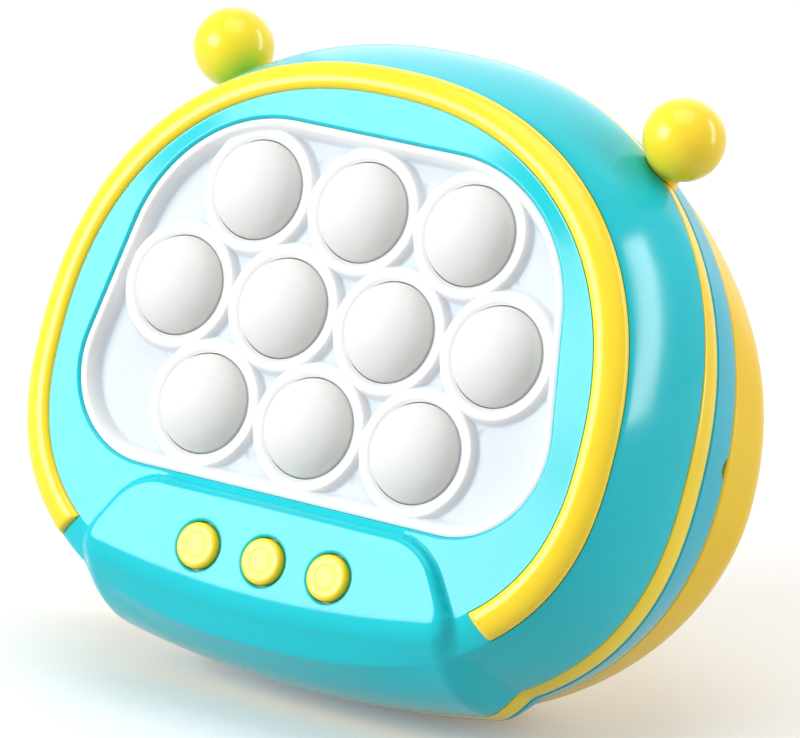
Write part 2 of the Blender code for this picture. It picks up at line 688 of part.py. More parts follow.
def on_foot(ring, wall=0.0):
    """A ring whose lowest points are flattened onto the foot plane, or a wall above it."""
    floor = foot_plane(ring[:, 1]) + wall / math.cos(LEAN)
    return np.column_stack([ring[:, 0], ring[:, 1], np.maximum(ring[:, 2], floor)])


def bubble_places():
    """The (x, z) centres of the bubbles, row by row from the top left."""
    places = []
    for row, count in enumerate(BUBBLE_ROWS):
        z = (len(BUBBLE_ROWS) // 2 - row) * ROW_PITCH
        places += [((index - (count - 1) / 2) * BUBBLE_PITCH, z) for index in range(count)]
    return places


def button_places():
    """The (x, z) centres of the three buttons."""
    return [((index - 1) * BUTTON_PITCH, BUTTON_HEIGHT_ON_FACE) for index in range(len(BUTTON_NAMES))]


def mirrored(place):
    """A place on the right and its mirror on the left."""
    return [place, (-place[0], place[1])]


def boss_places():
    """The (x, z) centres of the four case screws."""
    return mirrored(UPPER_BOSS_PLACE) + mirrored(LOWER_BOSS_PLACE)


def build_front_shell(material):
    """The face with its opening and trim groove, the side wall, the chin and the bosses inside."""
    angles = stations()
    groove = in_groove(angles)
    floor = np.where(groove, -TRIM_GROOVE_DEPTH, EDGE_BULGE / 2)
    crown = np.where(groove, -TRIM_GROOVE_DEPTH, EDGE_BULGE)
    rings = [opening_ring(angles, 0.0, OPENING_DEPTH), ring_of(FACE, angles)]
    rings += [edge_ring(angles, share, proud) for share, proud in (
        (GROOVE_WALL_SHARE, floor),
        (1 / 3, crown),
        (2 / 3, crown),
        (1 - GROOVE_WALL_SHARE, floor),
    )]
    rings += [ring_of(side_section(share), angles) for share in SIDE_SHARES]
    rings += [
        ring_of(SEAM.inset(0.0, SEAM_DEPTH + OVERRUN), angles),
        ring_of(SEAM.inset(SHELL_WALL, SEAM_DEPTH + OVERRUN), angles),
        ring_of(SEAM.inset(SHELL_WALL), angles),
        ring_of(side_section(SIDE_SHARES[2]).inset(SHELL_WALL), angles),
        ring_of(SHOULDER.inset(SHELL_WALL, SHOULDER_DEPTH + FACE_WALL + TRIM_GROOVE_DEPTH), angles),
        ring_of(FACE.inset(GROOVE_CORNER_INSET, FACE_BACK_DEPTH + TRIM_GROOVE_DEPTH), angles),
        opening_ring(angles, -PANEL_FLANGE_WIDTH - SEAT_GAP, FACE_BACK_DEPTH),
        opening_ring(angles, 0.0, FACE_BACK_DEPTH),
    ]
    shell = loft("front_shell", rings, material, joined=True)
    combine(shell, build_chin_tool(angles), "UNION")
    reach = 3 * SEAM_HALF_WIDTH
    slab = rectangle_outline(reach, reach)
    combine(shell, prism("seam_trim_tool", slab, SEAM_DEPTH, SEAM_DEPTH + 2 * OVERRUN), "DIFFERENCE")
    for name, places, root in (
        ("upper_boss_tool", mirrored(UPPER_BOSS_PLACE), UPPER_BOSS_ROOT),
        ("lower_boss_tool", mirrored(LOWER_BOSS_PLACE), LOWER_BOSS_ROOT),
    ):
        tool = turned_group(name, rod_profile(BOSS_RADIUS, root, BOSS_JOINT_DEPTH), SCREW_SEGMENTS, places)
        combine(shell, tool, "UNION")
    inside = FACE_BACK_DEPTH + OVERRUN
    combine(shell, prism("chin_pocket_tool", chin_pocket_outline(), CHIN_BACK_DEPTH, inside), "DIFFERENCE")
    posts = mirrored((BUTTON_BOARD_POST_PLACE, BUTTON_HEIGHT_ON_FACE))
    root = CHIN_BACK_DEPTH - SHELL_WALL / 2
    post = rod_profile(BUTTON_BOARD_POST_RADIUS, root, BUTTON_BOARD_DEPTH - SEAT_GAP)
    combine(shell, turned_group("board_post_tool", post, SWITCH_SEGMENTS, posts), "UNION")
    hole = rod_profile(BUTTON_RADIUS + SLIDE_GAP, BUTTON_TOP_DEPTH - OVERRUN, inside)
    tool = turned_group("button_hole_tool", hole, BUTTON_SEGMENTS, button_places(), HOLE_PHASE)
    combine(shell, tool, "DIFFERENCE")
    bite_end = BOSS_JOINT_DEPTH - SCREW_BITE - OVERRUN
    bite = rod_profile(SCREW_SHANK_RADIUS + SEAT_GAP, bite_end, BOSS_JOINT_DEPTH + OVERRUN)
    tool = turned_group("boss_bore_tool", bite, SCREW_SEGMENTS, boss_places(), HOLE_PHASE)
    combine(shell, tool, "DIFFERENCE")
    return shell


def chin_pocket_outline():
    """The hollow behind the chin's face, a wall's thickness inside its edges."""
    side = CHIN_HALF_WIDTH - SHELL_WALL
    top = CHIN_TOP_HALF_WIDTH - SHELL_WALL / 2
    bottom = CHIN_FACE_BOTTOM + SHELL_WALL
    right = [(side, bottom), (side, CHIN_SHOULDER), (top, CHIN_TOP - SHELL_WALL)]
    radii = [0.0, CHIN_SHOULDER_RADIUS / 2, CHIN_TOP_RADIUS - SHELL_WALL]
    corners = right + [(-x, z) for x, z in reversed(right)]
    return rounded_outline(corners, radii + radii[::-1], CHIN_CORNER_STEPS)


def build_chin_tool(angles):
    """The chin as a closed solid, hollowed along the middle of the shell's wall."""
    rings = [
        chin_ring(
            CHIN_FACE_DEPTH + CHIN_EDGE_DEPTH * (1 - math.cos(angle)),
            CHIN_EDGE_WIDTH * (1 - math.sin(angle)),
        )
        for angle in CHIN_EDGE_ANGLES
    ]
    start = CHIN_FACE_DEPTH + CHIN_EDGE_DEPTH
    rings += [chin_ring(start + share * (SEAM_DEPTH - start), 0.0) for share in CHIN_DEPTH_SHARES]
    rings.append(chin_ring(SEAM_DEPTH + OVERRUN / 2, 0.0))
    chin = loft("chin_tool", rings)
    half = SHELL_WALL / 2
    core_rings = [
        ring_of(FACE.inset(half, OPENING_DEPTH + FACE_WALL / 2), angles),
        ring_of(SHOULDER.inset(half, SHOULDER_DEPTH + TRIM_GROOVE_DEPTH), angles),
        ring_of(side_section(SIDE_SHARES[2]).inset(half), angles),
        ring_of(SEAM.inset(half, SEAM_DEPTH), angles),
        ring_of(SEAM.inset(half, SEAM_DEPTH + OVERRUN), angles),
    ]
    combine(chin, loft("chin_core_tool", core_rings), "DIFFERENCE")
    return chin


def build_face_trim(material):
    """The half-round strip in its groove, a horseshoe open at the chin."""
    half_step = trim_angle_step() / 2
    angles = stations()
    angles = angles[(angles > TRIM_END_ANGLE - half_step) & (angles < math.pi - TRIM_END_ANGLE + half_step)]
    side = 2 * GROOVE_WALL_SHARE
    seat = SEAT_GAP - TRIM_GROOVE_DEPTH
    columns = [edge_ring(angles, side, seat)]
    for step in range(TRIM_ARC_STEPS + 1):
        turn = math.pi * step / TRIM_ARC_STEPS
        share = 0.5 - (0.5 - side) * math.cos(turn)
        columns.append(edge_ring(angles, share, TRIM_BULGE * math.sin(turn)))
    columns.append(edge_ring(angles, 1 - side, seat))
    sections = np.stack(columns, axis=1)
    return loft("face_trim", list(sections), material)


def build_bubble_panel(material):
    """The white panel: flange, rim, sunk floor, ten raised rings with their holes, and board posts."""
    angles = stations()
    rim_top = OPENING_DEPTH + PANEL_RIM_SINK
    slope_start = SEAT_GAP + PANEL_RIM_WIDTH
    slope_end = slope_start + PANEL_RIM_SLOPE_WIDTH
    places = (
        (-PANEL_FLANGE_WIDTH, PANEL_BACK_DEPTH),
        (-PANEL_FLANGE_WIDTH, FACE_BACK_DEPTH + SEAT_GAP),
        (SEAT_GAP, FACE_BACK_DEPTH + SEAT_GAP),
        (SEAT_GAP, rim_top + PANEL_RIM_ROUND),
        (SEAT_GAP + PANEL_RIM_ROUND, rim_top),
        (slope_start, rim_top),
        ((slope_start + slope_end) / 2, rim_top + PANEL_RIM_ROUND),
        (slope_end, PANEL_FLOOR_DEPTH),
    )
    rings = [opening_ring(angles, inset, depth) for inset, depth in places]
    panel = loft("bubble_panel", rings, material)
    base = PANEL_FLOOR_DEPTH + PANEL_THICKNESS / 2
    post = rod_profile(PANEL_POST_RADIUS, base, BOARD_FRONT_DEPTH - SEAT_GAP)
    combine(panel, turned_group("panel_post_tool", post, SWITCH_SEGMENTS, panel_post_places()), "UNION")
    hole_radius = RING_CREST_RADIUS - RING_CREST_HALF_WIDTH
    hole = rod_profile(hole_radius, OPENING_DEPTH - OVERRUN, PANEL_BACK_DEPTH + OVERRUN)
    tool = turned_group("bubble_hole_tool", hole, BUBBLE_SEGMENTS, bubble_places(), HOLE_PHASE)
    combine(panel, tool, "DIFFERENCE")
    ring = [
        (BUBBLE_RADIUS + RING_GAP, PANEL_BACK_DEPTH - SEAT_GAP),
        (RING_OUTER_RADIUS, base),
        (RING_CREST_RADIUS + RING_CREST_HALF_WIDTH, RING_CREST_DEPTH + PANEL_RIM_ROUND),
        (RING_CREST_RADIUS, RING_CREST_DEPTH),
        (BUBBLE_RADIUS + RING_GAP, RING_CREST_DEPTH + PANEL_RIM_ROUND),
    ]
    for index, group in enumerate(bubble_groups(), start=1):
        tool = turned_group(f"ring_tool_{index}", ring, RING_SEGMENTS, group, index * HOLE_PHASE)
        combine(panel, tool, "UNION")
    return panel


def bubble_groups():
    """The bubbles' places in three groups, in none of which two bubbles are neighbours."""
    groups = ([], [], [])
    places = iter(bubble_places())
    for row, count in enumerate(BUBBLE_ROWS):
        for column in range(count):
            groups[(column + row % 2) % len(groups)].append(next(places))
    return groups


def panel_post_places():
    """The four spots between three bubbles where a post passes their flanges."""
    x = BUBBLE_PITCH / 2
    z = ROW_PITCH * 2 / 3
    return [(sx * x, sz * z) for sx in (-1, 1) for sz in (-1, 1)]


def dome_arc(radius, height, steps):
    """Points of a spherical cap on the plane of the rings' crests, from its edge to its top."""
    ball = (radius * radius + height * height) / (2 * height)
    spread = math.asin(radius / ball)
    angles = [spread * (1 - step / steps) for step in range(steps + 1)]
    centre = RING_CREST_DEPTH + ball * math.cos(spread)
    return [(ball * math.sin(angle), centre - ball * math.cos(angle)) for angle in angles]


def build_bubbles(material):
    """Ten hollow domes, each with a flange behind the panel and a post over its switch."""
    outer = dome_arc(BUBBLE_RADIUS, BUBBLE_HEIGHT, BUBBLE_OUTER_STEPS)
    inner = dome_arc(BUBBLE_RADIUS - BUBBLE_WALL, BUBBLE_HEIGHT - BUBBLE_WALL, BUBBLE_INNER_STEPS)
    profile = [
        (0.0, POST_END_DEPTH),
        (BUBBLE_POST_RADIUS, POST_END_DEPTH),
        (BUBBLE_POST_RADIUS, inner[-1][1] + BUBBLE_WALL / 4),
        *reversed(inner[:-1]),
        (BUBBLE_RADIUS - BUBBLE_WALL, FLANGE_BACK_DEPTH),
        (BUBBLE_FLANGE_RADIUS, FLANGE_BACK_DEPTH),
        (BUBBLE_FLANGE_RADIUS, FLANGE_FRONT_DEPTH),
        (BUBBLE_RADIUS, FLANGE_FRONT_DEPTH),
        *outer[:-1],
        (0.0, outer[-1][1]),
    ]
    for index, place in enumerate(bubble_places(), start=1):
        turned(f"bubble_{index}", profile, BUBBLE_SEGMENTS, material, place)


def build_main_board(board_material, switch_material):
    """The board behind the panel and a lit switch under each bubble."""
    outline = opening_outline(BOARD_MARGIN, BOARD_CORNER_STEPS)
    prism("main_board", outline, BOARD_FRONT_DEPTH, BOARD_FRONT_DEPTH + BOARD_THICKNESS, board_material)
    foot = SWITCH_TOP_DEPTH + SWITCH_HEIGHT
    profile = [
        (0.0, foot),
        (SWITCH_RADIUS, foot),
        (SWITCH_RADIUS, SWITCH_TOP_DEPTH + SWITCH_HEIGHT / 2),
        (SWITCH_RADIUS / 2, SWITCH_TOP_DEPTH),
        (0.0, SWITCH_TOP_DEPTH),
    ]
    for index, place in enumerate(bubble_places(), start=1):
        turned(f"bubble_switch_{index}", profile, SWITCH_SEGMENTS, switch_material, place)


def build_buttons(material):
    """Three round caps with a rounded top edge and a flange behind the chin's wall."""
    flange = BUTTON_RADIUS + BUTTON_FLANGE_WIDTH
    profile = [
        (0.0, BUTTON_BOTTOM_DEPTH),
        (flange, BUTTON_BOTTOM_DEPTH),
        (flange, BUTTON_FLANGE_DEPTH),
        (BUTTON_RADIUS, BUTTON_FLANGE_DEPTH),
        (BUTTON_RADIUS, BUTTON_TOP_DEPTH + BUTTON_ROUND),
        (BUTTON_RADIUS - BUTTON_ROUND / 4, BUTTON_TOP_DEPTH + BUTTON_ROUND / 3),
        (BUTTON_RADIUS - BUTTON_ROUND, BUTTON_TOP_DEPTH),
        (0.0, BUTTON_TOP_DEPTH),
    ]
    for name, place in zip(BUTTON_NAMES, button_places()):
        turned(name, profile, BUTTON_SEGMENTS, material, place)


def build_button_board(board_material, switch_material):
    """The small board behind the chin, on its two posts, and a switch under each button."""
    outline = rectangle_outline(BUTTON_BOARD_WIDTH, BUTTON_BOARD_HEIGHT, centre=(0.0, BUTTON_HEIGHT_ON_FACE))
    back = BUTTON_BOARD_DEPTH + BUTTON_BOARD_THICKNESS
    prism("button_board", outline, BUTTON_BOARD_DEPTH, back, board_material)
    square = rectangle_outline(BUTTON_SWITCH_WIDTH, BUTTON_SWITCH_WIDTH)
    for index, place in enumerate(button_places(), start=1):
        end = BUTTON_SWITCH_DEPTH + BUTTON_SWITCH_HEIGHT
        prism(f"button_switch_{index}", square, BUTTON_SWITCH_DEPTH, end, switch_material, place)


def band_section(depth):
    """The band's outline, which carries the seam's on towards the rear shell's."""
    return SEAM.towards(REAR_FRONT, depth, (depth - SEAM_DEPTH) / (REAR_FRONT_DEPTH - SEAM_DEPTH))


def build_middle_band(material):
    """The band between the shells, with a tongue that seats inside both, and its two antenna holes."""
    angles = stations()
    root = SHELL_WALL + SEAT_GAP
    tip = root + TONGUE_DRAFT
    front, rear = band_section(BAND_FRONT_DEPTH), band_section(BAND_REAR_DEPTH)
    rings = [
        with_chin(ring_of(front, angles), 1.0),
        with_chin(ring_of(rear, angles), 1.0),
        ring_of(rear.inset(root), angles),
        ring_of(rear.inset(tip, BAND_REAR_DEPTH + TONGUE_REACH), angles),
        ring_of(rear.inset(tip + TONGUE_THICKNESS, BAND_REAR_DEPTH + TONGUE_REACH), angles),
        ring_of(front.inset(tip + TONGUE_THICKNESS, BAND_FRONT_DEPTH - TONGUE_REACH), angles),
        ring_of(front.inset(tip, BAND_FRONT_DEPTH - TONGUE_REACH), angles),
        ring_of(front.inset(root), angles),
    ]
    band = loft("middle_band", rings, material, joined=True)
    for side, name in ((-1, "left"), (1, "right")):
        reach = ANTENNA_STEM_LENGTH + OVERRUN
        hole = rod_profile(ANTENNA_STEM_RADIUS + SEAT_GAP, -reach, reach)
        tool = turned(f"{name}_stem_hole_tool", hole, SWITCH_SEGMENTS)
        aim(tool, *antenna_axis(side))
        combine(band, tool, "DIFFERENCE")
    return band


def antenna_axis(side):
    """The point on the middle of the band where an antenna stands, and its axis, tilted to the front."""
    section = band_section((BAND_FRONT_DEPTH + BAND_REAR_DEPTH) / 2)
    angle = math.acos((ANTENNA_PLACE / section.half_width) ** (section.upper_power / 2))
    step = math.radians(0.1)
    before, here, after = outline_of(section, np.array([angle - step, angle, angle + step]))
    outward = Vector(((after[1] - before[1]) * side, 0.0, before[0] - after[0])).normalized()
    axis = outward * math.cos(ANTENNA_TILT) - Vector((0.0, math.sin(ANTENNA_TILT), 0.0))
    return Vector((here[0] * side, section.depth, here[1])), axis


def aim(piece, place, direction):
    """Sets a turned piece at a place, its axis along a direction."""
    piece.location = place
    piece.rotation_mode = "QUATERNION"
    piece.rotation_quaternion = Vector((0.0, 1.0, 0.0)).rotation_difference(direction)


def build_antennas(material):
    """Two balls whose necks follow the casing they stand on, each with a stem through the band."""
    angles = stations()
    grown = [side_section(SIDE_SHARES[3]), SEAM, REAR_FRONT, REAR_SEAM]
    casing = loft("casing_tool", [ring_of(section.inset(-SEAT_GAP), angles) for section in grown])
    start = math.asin(ANTENNA_NECK_RADIUS / ANTENNA_RADIUS)
    turns = [start + (math.pi - start) * step / ANTENNA_STEPS for step in range(ANTENNA_STEPS)]
    ball = [(ANTENNA_RADIUS * math.sin(a), ANTENNA_STAND_OFF - ANTENNA_RADIUS * math.cos(a)) for a in turns]
    profile = [
        (0.0, -OVERRUN),
        (ANTENNA_NECK_RADIUS, -OVERRUN),
        *ball,
        (0.0, ANTENNA_STAND_OFF + ANTENNA_RADIUS),
    ]
    for side, name in ((-1, "left"), (1, "right")):
        piece = turned(f"{name}_antenna", profile, ANTENNA_SEGMENTS, material)
        aim(piece, *antenna_axis(side))
        combine(piece, casing, "DIFFERENCE")
        rod = rod_profile(ANTENNA_STEM_RADIUS, -ANTENNA_STEM_LENGTH, OVERRUN)
        stem = turned(f"{name}_stem_tool", rod, SWITCH_SEGMENTS)
        aim(stem, *antenna_axis(side))
        combine(piece, stem, "UNION")


def build_rear_shell(material):
    """The ring behind the band, with the chin's form fading out in it and a pry notch at its back edge."""
    angles = stations()
    middle = (REAR_FRONT_DEPTH + REAR_SEAM_DEPTH) / 2
    rings = [
        with_chin(ring_of(REAR_FRONT, angles), 1.0),
        with_chin(ring_of(REAR_FRONT.towards(REAR_SEAM, middle, REAR_TAPER_SHARE), angles), CHIN_FADE_SHARE),
        ring_of(REAR_SEAM, angles),
        ring_of(REAR_SEAM.inset(SHELL_WALL), angles),
        ring_of(REAR_FRONT.towards(REAR_SEAM, middle, REAR_TAPER_SHARE).inset(SHELL_WALL), angles),
        ring_of(REAR_FRONT.inset(SHELL_WALL), angles),
    ]
    shell = loft("rear_shell", rings, material, joined=True)
    rod = rod_profile(PRY_NOTCH_RADIUS, -PRY_NOTCH_RADIUS, PRY_NOTCH_RADIUS)
    notch = turned("pry_notch_tool", rod, PRY_NOTCH_SEGMENTS)
    depth = REAR_SEAM_DEPTH + PRY_NOTCH_RADIUS - PRY_NOTCH_DEPTH
    aim(notch, Vector((REAR_SEAM.half_width, depth, PRY_NOTCH_HEIGHT_ON_SIDE)), Vector((1.0, 0.0, 0.0)))
    combine(shell, notch, "DIFFERENCE")
    return shell


def cover_sections():
    """The back cover's outlines from its front edge to its flat back."""
    shares = zip(
        COVER_DEPTH_SHARES, COVER_WIDTH_SHARES, COVER_RISE_SHARES, COVER_DROP_SHARES, COVER_LOWER_POWERS
    )
    return [
        Section(
            COVER_FRONT_DEPTH + COVER_DEPTH * depth,
            REAR_SEAM.half_width * width,
            REAR_SEAM.rise * rise,
            REAR_SEAM.drop * drop,
            REAR_UPPER_POWER,
            power,
        )
        for depth, width, rise, drop, power in shares
    ]


def build_back_cover(material):
    """The rounded back with its lip, foot, battery bay, speaker slots and ring, and screw wells."""
    angles = stations()
    sections = cover_sections()
    rings = [on_foot(ring_of(section, angles)) for section in sections]
    inner = [
        on_foot(ring_of(section.inset(COVER_WALL, section.depth - COVER_WALL * share), angles), COVER_WALL)
        for share, section in zip(COVER_DEPTH_SHARES, sections)
    ]
    lip = SHELL_WALL + SEAT_GAP
    lip_front = COVER_FRONT_DEPTH - COVER_LIP_REACH
    edge = [
        ring_of(sections[0].inset(lip + COVER_LIP_THICKNESS), angles),
        ring_of(sections[0].inset(lip + COVER_LIP_THICKNESS, lip_front), angles),
        ring_of(sections[0].inset(lip, lip_front), angles),
        ring_of(sections[0].inset(lip), angles),
    ]
    cover = loft("back_cover", [*reversed(inner[2:]), *edge, *rings], material)
    inside = COVER_BACK_DEPTH - COVER_WALL / 2
    rim = DOOR_LEDGE + BAY_WALL
    bay = rectangle_outline(BAY_WIDTH, BAY_HEIGHT, centre=(0.0, BAY_CENTRE))
    block = rectangle_outline(BAY_WIDTH + 2 * rim, BAY_HEIGHT + 2 * rim, centre=(0.0, BAY_CENTRE))
    combine(cover, prism("bay_block_tool", block, BAY_FLOOR_DEPTH - BAY_FLOOR, inside), "UNION")
    ear = rectangle_outline(
        DOOR_EAR_WIDTH + 2 * BAY_WALL,
        DOOR_EAR_LENGTH + 2 * BAY_WALL,
        centre=(0.0, BAY_TOP + DOOR_LEDGE + DOOR_EAR_LENGTH / 2),
    )
    combine(cover, prism("ear_block_tool", ear, LEDGE_DEPTH - DOOR_SCREW_BOSS_DEPTH, inside), "UNION")
    combine(cover, build_speaker_ring_tool(inside), "UNION")
    for name, places, end in well_ends():
        tube = rod_profile(WELL_RADIUS, BOSS_JOINT_DEPTH + SEAT_GAP, end)
        combine(cover, turned_group(f"{name}_well_tool", tube, SCREW_SEGMENTS, places), "UNION")
    outside = COVER_BACK_DEPTH + OVERRUN
    combine(cover, prism("bay_cavity_tool", bay, BAY_FLOOR_DEPTH, outside), "DIFFERENCE")
    combine(cover, prism("door_recess_tool", door_outline(0.0), LEDGE_DEPTH, outside), "DIFFERENCE")
    bore = screw_hole_profile(BOSS_JOINT_DEPTH - OVERRUN, BOSS_SEAT_DEPTH)
    tool = turned_group("case_screw_hole_tool", bore, SCREW_SEGMENTS, boss_places(), HOLE_PHASE)
    combine(cover, tool, "DIFFERENCE")
    combine(cover, build_speaker_slots_tool(), "DIFFERENCE")
    combine(cover, build_door_screw_bore_tool(), "DIFFERENCE")
    return cover


def well_ends():
    """For the upper and the lower screw wells: a name, their places, and the depth that their tubes reach.

    A tube ends inside the cover's own wall, which lies less deep where the cover rounds off.
    """
    names = ("upper", "lower")
    ends = []
    for name, place in zip(names, (UPPER_BOSS_PLACE, LOWER_BOSS_PLACE)):
        depth = cover_depth_over(place[0] + WELL_RADIUS, place[1])
        ends.append((name, mirrored(place), depth - SEAT_GAP))
    return ends


def cover_depth_over(x, z):
    """The depth of the cover's outside over a place, read between its outlines."""
    depth = COVER_BACK_DEPTH
    sections = cover_sections()
    for nearer, farther in zip(sections, sections[1:]):
        if fill_of(nearer, x, z) <= 1 < fill_of(farther, x, z):
            share = (1 - fill_of(nearer, x, z)) / (fill_of(farther, x, z) - fill_of(nearer, x, z))
            depth = nearer.depth + share * (farther.depth - nearer.depth)
    return depth


def fill_of(section, x, z):
    """How far out a place lies in an outline: below 1 inside it, above 1 outside."""
    height = z + WAIST_DROP
    power = section.upper_power if height >= 0 else section.lower_power
    reach = section.rise if height >= 0 else section.drop
    return (abs(x) / section.half_width) ** power + (abs(height) / reach) ** power


def door_outline(gap):
    """The battery door's outline, drawn in by a gap all round: a rectangle with an ear for its screw."""
    half = BAY_WIDTH / 2 + DOOR_LEDGE - gap
    low = BAY_BOTTOM - DOOR_LEDGE + gap
    high = BAY_TOP + DOOR_LEDGE - gap
    ear = DOOR_EAR_WIDTH / 2 - gap
    tip = high + DOOR_EAR_LENGTH
    right = [(half, low), (half, high), (ear, high), (ear, tip)]
    corners = right + [(-x, z) for x, z in reversed(right)]
    radius = DOOR_RADIUS - gap
    radii = [radius, radius, 0.0, radius]
    return rounded_outline(corners, radii + radii[::-1], DOOR_CORNER_STEPS)


def door_screw_place():
    """The (x, z) centre of the door's screw, in its ear."""
    return (0.0, BAY_TOP + DOOR_LEDGE + DOOR_EAR_LENGTH / 2)


def build_speaker_ring_tool(inside):
    """The wall that holds the speaker against the back."""
    radius = SPEAKER_RADIUS + SEAT_GAP
    front = COVER_BACK_DEPTH - COVER_WALL - SPEAKER_WALL_HEIGHT
    profile = [
        (radius, front),
        (radius + SPEAKER_WALL, front),
        (radius + SPEAKER_WALL, inside),
        (radius, inside),
    ]
    return turned("speaker_ring_tool", profile, SPEAKER_SEGMENTS, place=(0.0, SPEAKER_CENTRE))


def build_speaker_slots_tool():
    """Upright slots with round ends that fill a circle over the speaker."""
    front = COVER_BACK_DEPTH - COVER_WALL - OVERRUN
    back = COVER_BACK_DEPTH + OVERRUN
    points = []
    faces = []
    for index in range(SLOT_COUNT):
        x = (index - (SLOT_COUNT - 1) / 2) * SLOT_PITCH
        height = 2 * math.sqrt(SLOT_FIELD_RADIUS**2 - x * x)
        flat = rectangle_outline(SLOT_WIDTH, height, SLOT_WIDTH / 2, SLOT_END_STEPS, (x, SPEAKER_CENTRE))
        count = len(flat)
        start = len(points)
        points += [*at_depth(flat, front), *at_depth(flat, back)]
        for here in range(start, start + count):
            after = start + (here - start + 1) % count
            faces.append((here, after, count + after, count + here))
        faces += [range(start, start + count), range(start + count, start + 2 * count)]
    return new_piece("speaker_slots_tool", points, faces)


def build_door_screw_bore_tool():
    """The bore that the door's screw bites in, in the bay's upper wall."""
    front = LEDGE_DEPTH - DOOR_SCREW_LENGTH - SEAT_GAP
    profile = rod_profile(SCREW_SHANK_RADIUS + SEAT_GAP, front, COVER_BACK_DEPTH + OVERRUN)
    return turned("door_screw_bore_tool", profile, SCREW_SEGMENTS, place=door_screw_place())


def build_battery_door(material):
    """The door over the cells, its ear counterbored for the screw."""
    door = prism("battery_door", door_outline(SEAT_GAP), DOOR_DEPTH, COVER_BACK_DEPTH, material)
    place = [door_screw_place()]
    bore = screw_hole_profile(DOOR_DEPTH - OVERRUN, COVER_BACK_DEPTH - SCREW_HEAD_HEIGHT)
    tool = turned_group("door_screw_hole_tool", bore, SCREW_SEGMENTS, place, HOLE_PHASE)
    combine(door, tool, "DIFFERENCE")


def screw_hole_profile(front, seat):
    """A screw's bore from a depth to the seat of its head, and the wider well behind the seat."""
    back = COVER_BACK_DEPTH + OVERRUN
    bore = SCREW_SHANK_RADIUS + SEAT_GAP
    well = SCREW_HEAD_RADIUS + SEAT_GAP
    return [(0.0, front), (bore, front), (bore, seat), (well, seat), (well, back), (0.0, back)]


def screw_profile(seat, length):
    """A pan-head screw whose head lies behind its seat, with a round socket in the head."""
    top = seat + SCREW_HEAD_HEIGHT
    return [
        (0.0, seat - length),
        (SCREW_SHANK_RADIUS, seat - length),
        (SCREW_SHANK_RADIUS, seat),
        (SCREW_HEAD_RADIUS, seat),
        (SCREW_HEAD_RADIUS, seat + SCREW_HEAD_HEIGHT / 2),
        (SCREW_SOCKET_RADIUS, top),
        (0.0, top - SCREW_SOCKET_DEPTH),
    ]


def build_screws(material):
    """The four case screws in their wells and the screw of the battery door."""
    seat = BOSS_SEAT_DEPTH + SEAT_GAP
    profile = screw_profile(seat, seat - BOSS_JOINT_DEPTH + SCREW_BITE)
    for index, place in enumerate(boss_places(), start=1):
        turned(f"case_screw_{index}", profile, SCREW_SEGMENTS, material, place)
    door_seat = COVER_BACK_DEPTH - SCREW_HEAD_HEIGHT + SEAT_GAP
    profile = screw_profile(door_seat, DOOR_SCREW_LENGTH)
    turned("battery_door_screw", profile, SCREW_SEGMENTS, material, door_screw_place())


def cell_rows():
    """The height and the direction of each cell, from the top, its direction towards its nub."""
    middle = (CELL_COUNT - 1) / 2
    return [(BAY_CENTRE + (middle - index) * CELL_PITCH, 1 - 2 * (index % 2)) for index in range(CELL_COUNT)]


def build_cells(material):
    """Three AAA cells side by side in turn about, each pushed towards its nub by its spring."""
    shoulder = CELL_LENGTH - CELL_NUB_LENGTH
    profile = [
        (0.0, 0.0),
        (CELL_RADIUS, 0.0),
        (CELL_RADIUS, shoulder),
        (CELL_NUB_RADIUS, shoulder),
        (CELL_NUB_RADIUS, CELL_LENGTH),
        (0.0, CELL_LENGTH),
    ]
    tip = BAY_WIDTH / 2 - CONTACT_THICKNESS - 2 * SEAT_GAP
    for index, (z, direction) in enumerate(cell_rows(), start=1):
        cell = turned(f"battery_{index}", profile, CELL_SEGMENTS, material)
        aim(cell, Vector((direction * (tip - CELL_LENGTH), CELL_DEPTH, z)), Vector((direction, 0.0, 0.0)))


def spring_path(z):
    """A leaf that arches from the contact's plate towards a cell, as (reach, z) points from the top down."""
    height = CONTACT_SPRING_ROOM - SEAT_GAP
    half = CONTACT_SPRING_SHARE * CELL_RADIUS
    angles = [math.pi * step / CONTACT_SPRING_STEPS for step in range(CONTACT_SPRING_STEPS + 1)]
    return [(height * math.sin(angle), z + half * math.cos(angle)) for angle in angles]


def strip_outline(path, thickness):
    """The outline of a strip of even thickness along a path."""
    path = np.array(path)
    along = np.gradient(path, axis=0)
    along /= np.hypot(along[:, 0], along[:, 1])[:, None]
    across = np.column_stack([along[:, 1], -along[:, 0]])
    return np.concatenate([path, (path + thickness * across)[::-1]])


def build_contacts(material):
    """The strips at the bay's ends: a spring, a flat, and two that link a nub to the next cell's spring."""
    rows = cell_rows()
    half = CELL_RADIUS - SEAT_GAP
    top, middle, low = (z for z, _ in rows)
    plates = {
        "contact_spring": (-1, [(0.0, top + half), *spring_path(top), (0.0, top - half)]),
        "contact_link_1": (1, [(0.0, top + half), (0.0, top), *spring_path(middle), (0.0, middle - half)]),
        "contact_link_2": (-1, [(0.0, middle + half), (0.0, middle), *spring_path(low), (0.0, low - half)]),
        "contact_flat": (1, [(0.0, low + half), (0.0, low - half)]),
    }
    face = BAY_WIDTH / 2 - SEAT_GAP
    for name, (side, path) in plates.items():
        outline = strip_outline([(side * (face - reach), z) for reach, z in path], side * CONTACT_THICKNESS)
        prism(name, outline, CELL_DEPTH - CONTACT_WIDTH / 2, CELL_DEPTH + CONTACT_WIDTH / 2, material)


